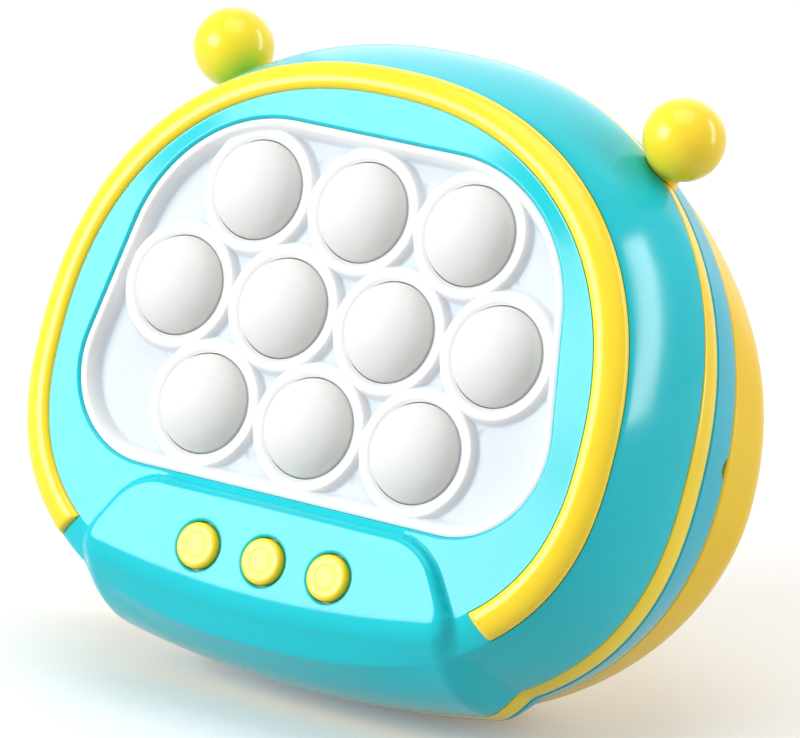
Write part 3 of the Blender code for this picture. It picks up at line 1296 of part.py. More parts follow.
def build_speaker(material):
    """The speaker behind the slots: a rim, a sunk cone, a basket and a magnet."""
    back = SPEAKER_BACK_DEPTH
    front = back - SPEAKER_DEPTH
    profile = [
        (0.0, front),
        (SPEAKER_MAGNET_RADIUS, front),
        (SPEAKER_MAGNET_RADIUS, front + SPEAKER_BASKET_SHARE * SPEAKER_DEPTH),
        (SPEAKER_RADIUS, back - SPEAKER_RIM),
        (SPEAKER_RADIUS, back),
        (SPEAKER_CONE_RADIUS, back),
        (SPEAKER_CONE_RADIUS / 2, back - SPEAKER_CONE_DEPTH),
        (0.0, back - SPEAKER_CONE_DEPTH / 2),
    ]
    turned("speaker", profile, SPEAKER_SEGMENTS, material, (0.0, SPEAKER_CENTRE))


def place_frame():
    """Stands the casing on its foot, leaning back, its bounding box centred over the origin."""
    frame = bpy.data.objects["casing_frame"]
    frame.rotation_euler = (-LEAN, 0.0, 0.0)
    foot_level = FOOT_HEIGHT * math.cos(LEAN) - REAR_SEAM_DEPTH * math.sin(LEAN)
    frame.location = (0.0, 0.0, -foot_level)
    bpy.context.view_layer.update()
    graph = bpy.context.evaluated_depsgraph_get()
    reach = []
    for obj in bpy.context.scene.objects:
        if obj.type == "MESH" and not obj.hide_render:
            evaluated = obj.evaluated_get(graph)
            reach += [(evaluated.matrix_world @ vertex.co).y for vertex in evaluated.data.vertices]
    frame.location.y = -(min(reach) + max(reach)) / 2


def main():
    """Builds every piece and stands the toy up."""
    clear_scene()
    frame = bpy.data.objects.new("casing_frame", None)
    bpy.context.scene.collection.objects.link(frame)
    cyan = plastic("glossy_cyan", (0.03, 0.62, 0.70), 0.2)
    blue = plastic("rear_blue", (0.08, 0.45, 0.58), 0.25)
    yellow = plastic("glossy_yellow", (1.0, 0.80, 0.10), 0.25)
    amber = plastic("amber_yellow", (0.85, 0.60, 0.08), 0.3)
    white = plastic("panel_white", (0.86, 0.88, 0.90), 0.35)
    silicone = plastic("soft_white", (0.80, 0.79, 0.77), 0.55)
    board = plastic("board_green", (0.02, 0.22, 0.08), 0.5)
    switch = plastic("switch_black", (0.03, 0.03, 0.03), 0.4)
    steel = plastic("bright_steel", (0.60, 0.60, 0.62), 0.3, 1.0)
    sleeve = plastic("cell_sleeve", (0.10, 0.12, 0.16), 0.35)
    build_front_shell(cyan)
    build_face_trim(yellow)
    build_bubble_panel(white)
    build_bubbles(silicone)
    build_buttons(yellow)
    build_main_board(board, switch)
    build_button_board(board, switch)
    build_middle_band(yellow)
    build_antennas(yellow)
    build_rear_shell(blue)
    build_back_cover(amber)
    build_battery_door(amber)
    build_screws(steel)
    build_cells(sleeve)
    build_contacts(steel)
    build_speaker(switch)
    place_frame()


main()
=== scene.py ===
"""Looks of the bubble pop game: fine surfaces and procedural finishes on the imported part.

Every surface is worked out in millimetres in the casing's frame, where x runs to the right along
the face, y from the face into the casing and z up the face. Casing.world turns it to metres.
"""

import json
import logging
import math
from dataclasses import dataclass, replace
from enum import Enum
from typing import Any, Callable, Sequence

import bpy
import numpy as np
from mathutils import Matrix, Vector
from mathutils.geometry import delaunay_2d_cdt


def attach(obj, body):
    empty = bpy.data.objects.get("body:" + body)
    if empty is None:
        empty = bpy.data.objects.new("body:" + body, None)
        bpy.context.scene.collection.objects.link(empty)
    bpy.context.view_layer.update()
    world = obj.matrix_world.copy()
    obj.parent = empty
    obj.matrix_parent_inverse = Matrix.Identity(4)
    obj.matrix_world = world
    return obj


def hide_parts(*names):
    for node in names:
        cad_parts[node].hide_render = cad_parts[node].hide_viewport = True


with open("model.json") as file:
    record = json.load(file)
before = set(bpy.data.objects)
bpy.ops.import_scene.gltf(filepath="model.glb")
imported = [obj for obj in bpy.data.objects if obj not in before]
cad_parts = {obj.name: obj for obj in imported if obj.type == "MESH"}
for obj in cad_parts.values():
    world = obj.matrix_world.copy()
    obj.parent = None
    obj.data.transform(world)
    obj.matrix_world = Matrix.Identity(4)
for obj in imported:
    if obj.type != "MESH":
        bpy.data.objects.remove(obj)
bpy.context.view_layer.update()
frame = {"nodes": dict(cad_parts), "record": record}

LOG = logging.getLogger("bubble_pop_game")
MM = 0.001
TURN = 2 * math.pi
ROOT = "casing"
SHARP = 38.0
CORNER_SHARE = 0.48
Array = np.ndarray
Pair = tuple[float, float]
Triple = tuple[float, float, float]
Floats = tuple[float, ...]
Colour = Triple


class Slot(Enum):
    """Material slots of the record."""

    CYAN = "glossy_cyan"
    BLUE = "rear_blue"
    YELLOW = "glossy_yellow"
    AMBER = "amber_yellow"
    PANEL = "panel_white"
    SOFT = "soft_white"
    BOARD = "board_green"
    BLACK = "switch_black"
    STEEL = "bright_steel"
    SLEEVE = "cell_sleeve"


class Operation(Enum):
    """What a tool does to a piece."""

    CUT = "DIFFERENCE"
    JOIN = "UNION"


# Shapes of the casing, shared by several pieces


@dataclass(frozen=True)
class Casing:
    """The casing's frame and the outlines that it is lofted through.

    Attributes:
        lean: How far the face leans back, in radians.
        shift: The frame's origin in the world.
        waist: How far the widest line lies under the origin.
        wall: The shells' wall.
        gap: The gap between seated pieces.
        soft: How far the shells' rims are rounded.
    """

    lean: float = math.radians(22.0)
    shift: Triple = (0.0, -24.277, 84.36)
    waist: float = 15.0
    wall: float = 2.2
    gap: float = 0.3
    soft: float = 0.35

    def world(self, points: Array) -> Array:
        """Turns points of the casing's frame to metres in the world.

        Args:
            points: Array whose last axis is x, y, z in millimetres.

        Returns:
            The same array in metres, leaned back and shifted.
        """
        x, y, z = np.moveaxis(np.asarray(points, dtype=float), -1, 0)
        cosine, sine = math.cos(self.lean), math.sin(self.lean)
        moved = np.stack([x, y * cosine + z * sine, z * cosine - y * sine], axis=-1)
        return (moved + np.array(self.shift)) * MM

    def depth(self, places: Array) -> Array:
        """How deep points of the world, in metres, lie in the casing's frame."""
        _, y, z = np.moveaxis(places / MM - np.array(self.shift), -1, 0)
        return y * math.cos(self.lean) - z * math.sin(self.lean)


CASING = Casing()


@dataclass(frozen=True)
class Section:
    """One closed outline of the casing: a superellipse about the waist line.

    Attributes:
        depth: Its depth.
        half_width: Half its width, on the waist line.
        rise, drop: How far it reaches over and under that line.
        upper_power, lower_power: How square its upper and lower half are: 2 is an ellipse.
    """

    depth: float
    half_width: float
    rise: float
    drop: float
    upper_power: float = 2.24
    lower_power: float = 2.5

    def inset(self, wall: float, depth: float | None = None) -> "Section":
        """Draws the outline in by a wall, at its own depth or another.

        Args:
            wall: How far it is drawn in.
            depth: Its new depth, or None for its own.

        Returns:
            The smaller outline.
        """
        return replace(
            self,
            depth=self.depth if depth is None else depth,
            half_width=self.half_width - wall,
            rise=self.rise - wall,
            drop=self.drop - wall,
        )

    def scaled(self, share: float) -> "Section":
        """The outline drawn smaller about the waist line."""
        sizes = {name: getattr(self, name) * share for name in ("half_width", "rise", "drop")}
        return replace(self, **sizes)

    def towards(self, other: "Section", depth: float, share: float) -> "Section":
        """An outline at a depth, a share of the way to another."""
        mixed = [a + share * (b - a) for a, b in zip(self.values(), other.values())]
        return Section(depth, *mixed)

    def values(self) -> Floats:
        """Half width, rise, drop and the two powers."""
        return self.half_width, self.rise, self.drop, self.upper_power, self.lower_power

    def ring(self, angles: Array) -> Array:
        """Points of the outline: x and z are signed powers of the angle's cosine and sine.

        Args:
            angles: Where round the casing the points lie.

        Returns:
            The (x, depth, z) points.
        """
        cosine, sine = np.cos(angles), np.sin(angles)
        power = 2 / np.where(sine >= 0, self.upper_power, self.lower_power)
        reach = np.where(sine >= 0, self.rise, self.drop)
        x = self.half_width * np.sign(cosine) * np.abs(cosine) ** power
        z = reach * np.sign(sine) * np.abs(sine) ** power - CASING.waist
        return at_depth(np.column_stack([x, z]), self.depth)


FACE = Section(1.3, 63.2, 61.317, 46.817)
SHOULDER = Section(4.6, 70.3, 67.717, 53.217)
SEAM = Section(26.3, 74.7, 75.417, 58.217, 2.3)
REAR_FRONT = Section(32.3, 75.2, 75.217, 58.717, 2.17)
BAND_BACK = SEAM.towards(REAR_FRONT, 32.0, 0.95)
REAR_SEAM = Section(42.0, 74.4, 74.017, 58.717, 2.12, 2.25)


@dataclass(frozen=True)
class Opening:
    """The rounded trapezoid in the face that shows the bubbles.

    Attributes:
        top, bottom: Heights of its level edges.
        top_half, bottom_half: Half widths of those edges, out to where the sides meet them.
        top_radius, bottom_radius: Radii of its corners.
        depth: How deep its edge lies.
        centre_drop: How far under the origin its rays start.
        corner_steps: Steps of each corner's arc.
    """

    top: float = 37.917
    bottom: float = -37.517
    top_half: float = 47.5
    bottom_half: float = 61.1
    top_radius: float = 33.0
    bottom_radius: float = 20.5
    depth: float = 0.8
    centre_drop: float = 5.0
    corner_steps: int = 60

    def outline(self, inset: float) -> Array:
        """The outline drawn in by an inset, as (x, z) points.

        Args:
            inset: How far it is drawn in.

        Returns:
            The outline's points.
        """
        lean = math.atan2(self.bottom_half - self.top_half, self.top - self.bottom)
        slope = math.tan(lean)
        high, low = self.top - inset, self.bottom + inset
        narrow = self.top_half + slope * inset - inset / math.cos(lean)
        wide = self.bottom_half - slope * inset - inset / math.cos(lean)
        corners = [(-wide, low), (wide, low), (narrow, high), (-narrow, high)]
        radii = [self.bottom_radius - inset] * 2 + [self.top_radius - inset] * 2
        return rounded_outline(corners, radii, self.corner_steps)

    def ring(self, angles: Array, inset: float, depth: float) -> Array:
        """The outline sampled on the rays of the face's outline, so that both loft together.

        Args:
            angles: Where round the casing the points lie.
            inset: How far it is drawn in.
            depth: The depth of its points.

        Returns:
            An (x, depth, z) point for each angle.
        """
        face = FACE.ring(angles)
        wanted = np.arctan2(face[:, 2] + self.centre_drop, face[:, 0])
        fine = self.outline(inset)
        bearing = np.arctan2(fine[:, 1] + self.centre_drop, fine[:, 0])
        order = np.argsort(bearing)
        xz = [np.interp(wanted, bearing[order], fine[order, axis], period=TURN) for axis in (0, 1)]
        return at_depth(np.column_stack(xz), depth)


OPENING = Opening()


@dataclass(frozen=True)
class Chin:
    """The pod under the opening that carries the buttons, as a distance field.

    Attributes:
        top, shoulder: Heights of its top edge and of the corners at its sides.
        top_half, half: Half widths at those heights.
        corner_radii: Radii of the side corners and of the top corners.
        draft: How far each side widens towards the seam.
        rise: How far its face stands before the casing's.
        face_bottom, bottom: Heights of its face's lower edge and of its lowest line.
        bottom_radius: The bend of that line.
        edge_radius, under_radius: Roundings round its face and along its lower edge.
        fillet, side_fillet: Radius of the hollow at its foot, and what its sides add to it.
        side, side_width: Where along x the side fillet is largest, and how wide it is.
        side_start, side_end: Depths between which the side fillet sets in.
        margin: How far over its top the fillet can reach.
        search: The heights over a skin between which the pod's surface is looked for.
        halvings: How often that span is halved.
    """

    top: float = -39.117
    top_half: float = 35.5
    half: float = 45.4
    shoulder: float = -54.517
    corner_radii: Pair = (10.0, 13.9)
    draft: float = 1.6
    rise: float = 1.5
    face_bottom: float = -60.517
    bottom: float = -74.217
    bottom_radius: float = 240.0
    edge_radius: float = 1.6
    under_radius: float = 4.0
    fillet: float = 0.9
    side_fillet: float = 2.9
    side: float = 47.0
    side_width: float = 7.0
    side_start: float = 2.0
    side_end: float = 12.0
    margin: float = 6.0
    search: Pair = (-0.05, 16.0)
    halvings: int = 14

    def outline(self) -> Array:
        """The pod's outline on the face, open far below.

        Returns:
            The outline's points.
        """
        far = 2 * self.bottom
        right = [(self.half, far), (self.half, self.shoulder), (self.top_half, self.top)]
        corners = right + [(-x, z) for x, z in reversed(right)]
        radii = [0.0, *self.corner_radii]
        return rounded_outline(corners, radii + radii[::-1], 24)

    def distance(self, points: Array) -> Array:
        """How far points stand off the pod, negative inside it.

        The pod is the outline's distance, the face's plane and a cylinder under the chin, each
        pair met by a round edge. The outline widens by its draft towards the seam.

        Args:
            points: (x, y, z) points of the casing's frame.

        Returns:
            A distance for each point.
        """
        x, y, z = np.moveaxis(points, -1, 0)
        seam = SEAM.depth
        widen = 1 + self.draft * np.clip(y, 0, seam) / seam / self.half
        flat = outline_distance(np.column_stack([x / widen, z]), self.outline())
        sag = self.bottom_radius - np.sqrt(self.bottom_radius**2 - x**2)
        run, fall = seam + self.rise, self.face_bottom - self.bottom
        radius = (run * run + fall * fall) / (2 * fall)
        back = np.maximum(seam - y, 0.0)
        under = np.hypot(back, z - sag - self.bottom - radius) - radius
        under = np.where(z - sag > self.bottom + radius, -radius, under)
        body = round_meet(flat, under, self.under_radius)
        return round_meet(body, -y - self.rise, self.edge_radius)

    def raise_skin(self, points: Array, normals: Array, share: float | Array = 1.0) -> Array:
        """Pushes a skin out along its normals to the pod, with a hollow fillet where they meet.

        Args:
            points: Points of the skin.
            normals: Its unit normals.
            share: How much of the pod shows, which lets it fade out.

        Returns:
            How far each point moves.
        """
        low, high = (np.full(len(points), end) for end in self.search)
        side = np.exp(-(((np.abs(points[:, 0]) - self.side) / self.side_width) ** 2))
        sunk = smooth(points[:, 1], self.side_start, self.side_end)
        fillet = self.fillet + self.side_fillet * sunk * side
        for _ in range(self.halvings):
            middle = (low + high) / 2
            here = points + middle[:, None] * normals
            inside = round_join(middle, self.distance(here), fillet) < 0
            low = np.where(inside, middle, low)
            high = np.where(inside, high, middle)
        return np.maximum((low + high) / 2, 0.0) * share


CHIN = Chin()


# Plane geometry and distance fields


def at_depth(flat: Array, depth: float | Array) -> Array:
    """(x, z) points as (x, depth, z) points."""
    return np.column_stack([flat[:, 0], np.broadcast_to(depth, len(flat)), flat[:, 1]])


def smooth(value: Array, start: float, end: float) -> Array:
    """A step from 0 to 1 between two values, level at both ends."""
    share = np.clip((value - start) / (end - start), 0.0, 1.0)
    return share * share * (3 - 2 * share)


def round_meet(first: Array, second: Array, radius: float) -> Array:
    """The distance to what two solids share, its edge rounded."""
    outside = np.hypot(np.maximum(first + radius, 0), np.maximum(second + radius, 0))
    return np.minimum(np.maximum(first, second), -radius) + outside


def round_join(first: Array, second: Array, radius: float | Array) -> Array:
    """The distance to two solids together, with a hollow fillet between them."""
    inside = np.hypot(np.maximum(radius - first, 0), np.maximum(radius - second, 0))
    return np.maximum(np.minimum(first, second), radius) - inside


def outline_distance(points: Array, outline: Array) -> Array:
    """The distance of (x, z) points to a closed outline, negative inside it.

    Args:
        points: The (x, z) points.
        outline: The outline's points, in order.

    Returns:
        A distance for each point.
    """
    nearest = np.full(len(points), np.inf)
    inside = np.zeros(len(points), dtype=bool)
    for origin, step in zip(outline, np.roll(outline, -1, axis=0) - outline):
        offset = points - origin
        share = np.clip(offset @ step / max(step @ step, 1e-12), 0, 1)
        nearest = np.minimum(nearest, np.hypot(*(offset - share[:, None] * step).T))
        above = (origin[1] > points[:, 1]) != (origin[1] + step[1] > points[:, 1])
        slope = step[0] / step[1] if step[1] else 0.0
        inside ^= above & (points[:, 0] < origin[0] + (points[:, 1] - origin[1]) * slope)
    return np.where(inside, -nearest, nearest)


def rounded_outline(corners: Sequence[tuple], radii: Sequence[float], steps: int) -> Array:
    """A closed counter-clockwise outline with an arc of its own radius at each corner.

    Args:
        corners: The (x, z) corners, in order.
        radii: A radius for each, 0 where it stays sharp.
        steps: Steps of each arc, which takes up less than half of either edge.

    Returns:
        The outline's points.
    """
    corners = [np.array(corner, dtype=float) for corner in corners]
    points = []
    for index, corner in enumerate(corners):
        if radii[index] <= 0:
            points.append(corner)
            continue
        back = corners[index - 1] - corner
        ahead = corners[(index + 1) % len(corners)] - corner
        room = min(np.hypot(*back), np.hypot(*ahead)) * CORNER_SHARE
        back /= np.hypot(*back)
        ahead /= np.hypot(*ahead)
        half = math.acos(float(back @ ahead)) / 2
        radius = min(radii[index], room * math.tan(half))
        middle = back + ahead
        centre = corner + middle / np.hypot(*middle) * radius / math.sin(half)
        start = corner + back * radius / math.tan(half) - centre
        turns = math.atan2(start[1], start[0]) + np.linspace(0, math.pi - 2 * half, steps + 1)
        points += list(centre + radius * np.column_stack([np.cos(turns), np.sin(turns)]))
    return np.array(points)


def box_outline(
    width: float,
    height: float,
    radius: float,
    centre: Pair = (0.0, 0.0),
    steps: int = 8,
) -> Array:
    """A rectangle with round corners about a centre.

    Args:
        width: Its width.
        height: Its height.
        radius: Its corners' radius.
        centre: Its (x, z) centre.
        steps: Steps of each corner's arc.

    Returns:
        The outline's points.
    """
    half = np.array([width, height]) / 2
    signs = ((-1, -1), (1, -1), (1, 1), (-1, 1))
    return rounded_outline([np.array(centre) + half * sign for sign in signs], [radius] * 4, steps)


def arc(centre: tuple, radius: float, start: float, end: float, steps: int = 6) -> list[tuple]:
    """Points of (radius, depth) on an arc, its angles in degrees from the radial direction."""
    turns = np.radians(np.linspace(start, end, steps + 1))
    return [(centre[0] + radius * math.cos(t), centre[1] + radius * math.sin(t)) for t in turns]


def stations(count: int = 440) -> Array:
    """Angles round the casing, closer together at the trim's ends and the chin's sides.

    Args:
        count: How many there are before those right at the trim's ends.

    Returns:
        The angles in order, from the lowest point round to it again.
    """
    chin_side, least_step = math.radians(-57.5), 0.003
    fine = np.linspace(-math.pi / 2, 1.5 * math.pi, 20000, endpoint=False)
    dense = np.ones_like(fine)
    for centre, width, weight in ((TRIM.end, 0.05, 1.5), (chin_side, 0.16, 1.6)):
        for place in (centre, math.pi - centre):
            dense += weight * np.exp(-(((fine - place) / width) ** 2))
    total = np.cumsum(dense)
    even = np.interp(np.arange(count) / count * total[-1], total, fine)
    right = TRIM.end + np.array([-0.012, -0.006, -0.0005, 0.0005, 0.006])
    ends = np.concatenate([right, math.pi - right])
    clear = np.abs(even[:, None] - ends).min(axis=1) > least_step
    return np.sort(np.concatenate([even[clear], ends]))


def surface_normals(grid: Array) -> Array:
    """Unit normals of a (rings, columns, 3) grid that is closed along its columns.

    Args:
        grid: The surface's points.

    Returns:
        A unit vector for each point.
    """
    along = np.gradient(grid, axis=0)
    across = np.roll(grid, -1, axis=1) - np.roll(grid, 1, axis=1)
    normal = np.cross(along, across)
    return normal / np.linalg.norm(normal, axis=-1, keepdims=True)


# Meshes


def add_object(name: str, data: bpy.types.ID) -> bpy.types.Object:
    """Puts an object with its data in the scene.

    Args:
        name: Its name.
        data: Its mesh, lamp or camera.

    Returns:
        The object.
    """
    added = bpy.data.objects.new(name, data)
    bpy.context.scene.collection.objects.link(added)
    return added


class Piece:
    """A finished mesh piece of the dressed part."""

    def __init__(
        self,
        name: str,
        points: Array,
        faces: Sequence,
        slot: Slot | None = None,
        sharp: float = SHARP,
    ):
        """Makes the mesh in the world's frame.

        Args:
            name: The piece's name.
            points: Points in the casing's frame.
            faces: Corners of each face.
            slot: The finish, or None for a tool.
            sharp: The least angle, in degrees, that shows as an edge.
        """
        mesh = bpy.data.meshes.new(name)
        mesh.from_pydata(CASING.world(points).tolist(), [], faces)
        if enclosed_volume(mesh) < 0:
            mesh.flip_normals()
        self.sharp = math.radians(sharp)
        self.object = add_object(name, mesh)
        self.slot = slot
        self.shade()

    def shade(self) -> None:
        """Shades the mesh smooth between its sharp edges."""
        self.object.data.shade_smooth()
        self.object.data.set_sharp_from_angle(angle=self.sharp)

    def apply(self, tool: "Piece", operation: Operation) -> "Piece":
        """Cuts a tool away or joins it, and removes the tool.

        Args:
            tool: The piece that cuts or joins.
            operation: Which of the two it does.

        Returns:
            The piece itself.
        """
        step = self.object.modifiers.new(tool.object.name, "BOOLEAN")
        step.operation = operation.value
        step.solver = "EXACT"
        step.object = tool.object
        graph = bpy.context.evaluated_depsgraph_get()
        result = bpy.data.meshes.new_from_object(self.object.evaluated_get(graph))
        self.object.modifiers.clear()
        self.object.data = result
        bpy.data.objects.remove(tool.object)
        self.shade()
        return self

    def carry(self, name: str, values: Array) -> None:
        """Gives each point a number that the finish reads."""
        attribute = self.object.data.attributes.new(name, "FLOAT", "POINT")
        attribute.data.foreach_set("value", values)

    def finish(self, library: "Library", nodes: Sequence[str], body: str = ROOT) -> None:
        """Gives the piece its material and its body, and hides the CAD nodes that it stands for.

        Args:
            library: The materials.
            nodes: The CAD nodes that it stands for.
            body: The body that it rides on.
        """
        self.object.data.materials.clear()
        self.object.data.materials.append(library[self.slot])
        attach(self.object, body)
        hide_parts(*nodes)


def read_array(items: Sequence, name: str, width: int, kind: type = float) -> Array:
    """One property of every item of a mesh, as an array with a row for each.

    Args:
        items: The mesh's vertices, faces or the like.
        name: The property.
        width: How many values an item has.
        kind: Their type.

    Returns:
        The values.
    """
    values = np.empty(len(items) * width, dtype=kind)
    items.foreach_get(name, values)
    return values.reshape(-1, width)


def enclosed_volume(mesh: bpy.types.Mesh) -> float:
    """The volume that the faces enclose, negative if they face inwards: a sum of tetrahedra.

    Args:
        mesh: A closed mesh.

    Returns:
        The volume, in cubic metres.
    """
    mesh.calc_loop_triangles()
    triangles = read_array(mesh.loop_triangles, "vertices", 3, int)
    corners = read_array(mesh.vertices, "co", 3)[triangles]
    return float(np.einsum("ij,ij->", corners[:, 0], np.cross(corners[:, 1], corners[:, 2])) / 6)


def grid_faces(rings: int, columns: int, joined: bool) -> list:
    """Quads of a grid that is closed along its columns, and along its rings too if joined.

    Args:
        rings: How many rings the grid has.
        columns: How many points a ring has.
        joined: Whether the last ring meets the first.

    Returns:
        The corners of each quad.
    """
    ring, column = np.mgrid[0 : rings - (not joined), 0:columns]
    here, ahead = ring * columns, (ring + 1) % rings * columns
    after = (column + 1) % columns
    corners = [here + column, here + after, ahead + after, ahead + column]
    return np.stack(corners, axis=-1).reshape(-1, 4).tolist()


def loft(
    name: str,
    rings: Sequence[Array],
    slot: Slot | None = None,
    joined: bool = False,
    sharp: float = SHARP,
) -> Piece:
    """A solid through rings of equal count, capped or joined end to end.

    Args:
        name: The piece's name.
        rings: The rings of points.
        slot: The finish, or None for a tool.
        joined: Whether the last ring meets the first.
        sharp: The least angle, in degrees, that shows as an edge.

    Returns:
        The solid.
    """
    count, columns = len(rings), len(rings[0])
    faces = grid_faces(count, columns, joined)
    if not joined:
        faces += [list(range(columns))[::-1], list(range((count - 1) * columns, count * columns))]
    return Piece(name, np.concatenate(rings), faces, slot, sharp)


def turned_points(profile: Sequence[tuple], segments: int) -> tuple[Array, list]:
    """Points and faces of a (radius, depth) profile turned about the y axis.

    Every ring is its radius times the cosine and sine of even angles, at its depth. The profile
    starts and ends on the axis, where a fan of triangles closes it.

    Args:
        profile: Its (radius, depth) points.
        segments: How many steps a turn has.

    Returns:
        The points, and the corners of each face.
    """
    profile = np.array(profile)
    angles = np.arange(segments) * TURN / segments
    radius, depth = profile[1:-1, :1], profile[1:-1, 1:]
    rings = np.stack([radius * np.cos(angles), depth + 0 * angles, radius * np.sin(angles)], axis=-1)
    poles = [[0.0, profile[0, 1], 0.0], [0.0, profile[-1, 1], 0.0]]
    points = np.vstack([rings.reshape(-1, 3), poles])
    here, after = np.arange(segments), (np.arange(segments) + 1) % segments
    last = (len(profile) - 3) * segments
    first_fan = np.stack([after, here, np.full(segments, len(points) - 2)], axis=1)
    last_fan = np.stack([last + here, last + after, np.full(segments, len(points) - 1)], axis=1)
    faces = grid_faces(len(profile) - 2, segments, False) + first_fan.tolist() + last_fan.tolist()
    return points, faces


def turned(
    name: str,
    profile: Sequence[tuple],
    place: Pair,
    slot: Slot | None = None,
    segments: int = 64,
    sharp: float = SHARP,
) -> Piece:
    """A turned solid that stands along the depth axis at (x, z)."""
    points, faces = turned_points(profile, segments)
    return Piece(name, points + np.array([place[0], 0.0, place[1]]), faces, slot, sharp)


def plate(
    name: str,
    outline: Callable[[float], Array],
    levels: Sequence[tuple],
    slot: Slot | None = None,
) -> Piece:
    """A solid through (inset, depth) levels of an outline."""
    rings = [at_depth(outline(inset), depth) for inset, depth in levels]
    return loft(name, rings, slot, sharp=30.0)


def stand(points: Array, direction: Sequence[float], place: Sequence[float]) -> Array:
    """Turns points from the depth axis to a direction and moves them to a place."""
    turn = Vector((0, 1, 0)).rotation_difference(Vector(direction)).to_matrix()
    return points @ np.array(turn).T + place


def prism(name: str, flat: Array, front: float, back: float) -> Piece:
    """A straight tool between two depths."""
    return loft(name, [at_depth(flat, front), at_depth(flat, back)])


# Materials


class Number:
    """A number in a shader graph that takes part in Python's arithmetic."""

    def __init__(self, graph: "Graph", socket: bpy.types.NodeSocket):
        """Wraps an output of a graph."""
        self.graph = graph
        self.socket = socket

    def __add__(self, other: "Number | float") -> "Number":
        """The sum."""
        return self.graph.maths("ADD", self, other)

    def __radd__(self, other: float) -> "Number":
        """The sum with a plain number before it."""
        return self.graph.maths("ADD", other, self)

    def __sub__(self, other: "Number | float") -> "Number":
        """The difference."""
        return self.graph.maths("SUBTRACT", self, other)

    def __rsub__(self, other: float) -> "Number":
        """The difference from a plain number."""
        return self.graph.maths("SUBTRACT", other, self)

    def __mul__(self, other: "Number | float") -> "Number":
        """The product."""
        return self.graph.maths("MULTIPLY", self, other)

    def __rmul__(self, other: float) -> "Number":
        """The product with a plain number before it."""
        return self.graph.maths("MULTIPLY", other, self)

    def between(self, low: float, high: float) -> "Number":
        """Runs smoothly from 0 at the low value to 1 at the high one."""
        inputs = {"Value": self, "From Min": low, "From Max": high}
        return self.graph.number("ShaderNodeMapRange", inputs, interpolation_type="SMOOTHSTEP")


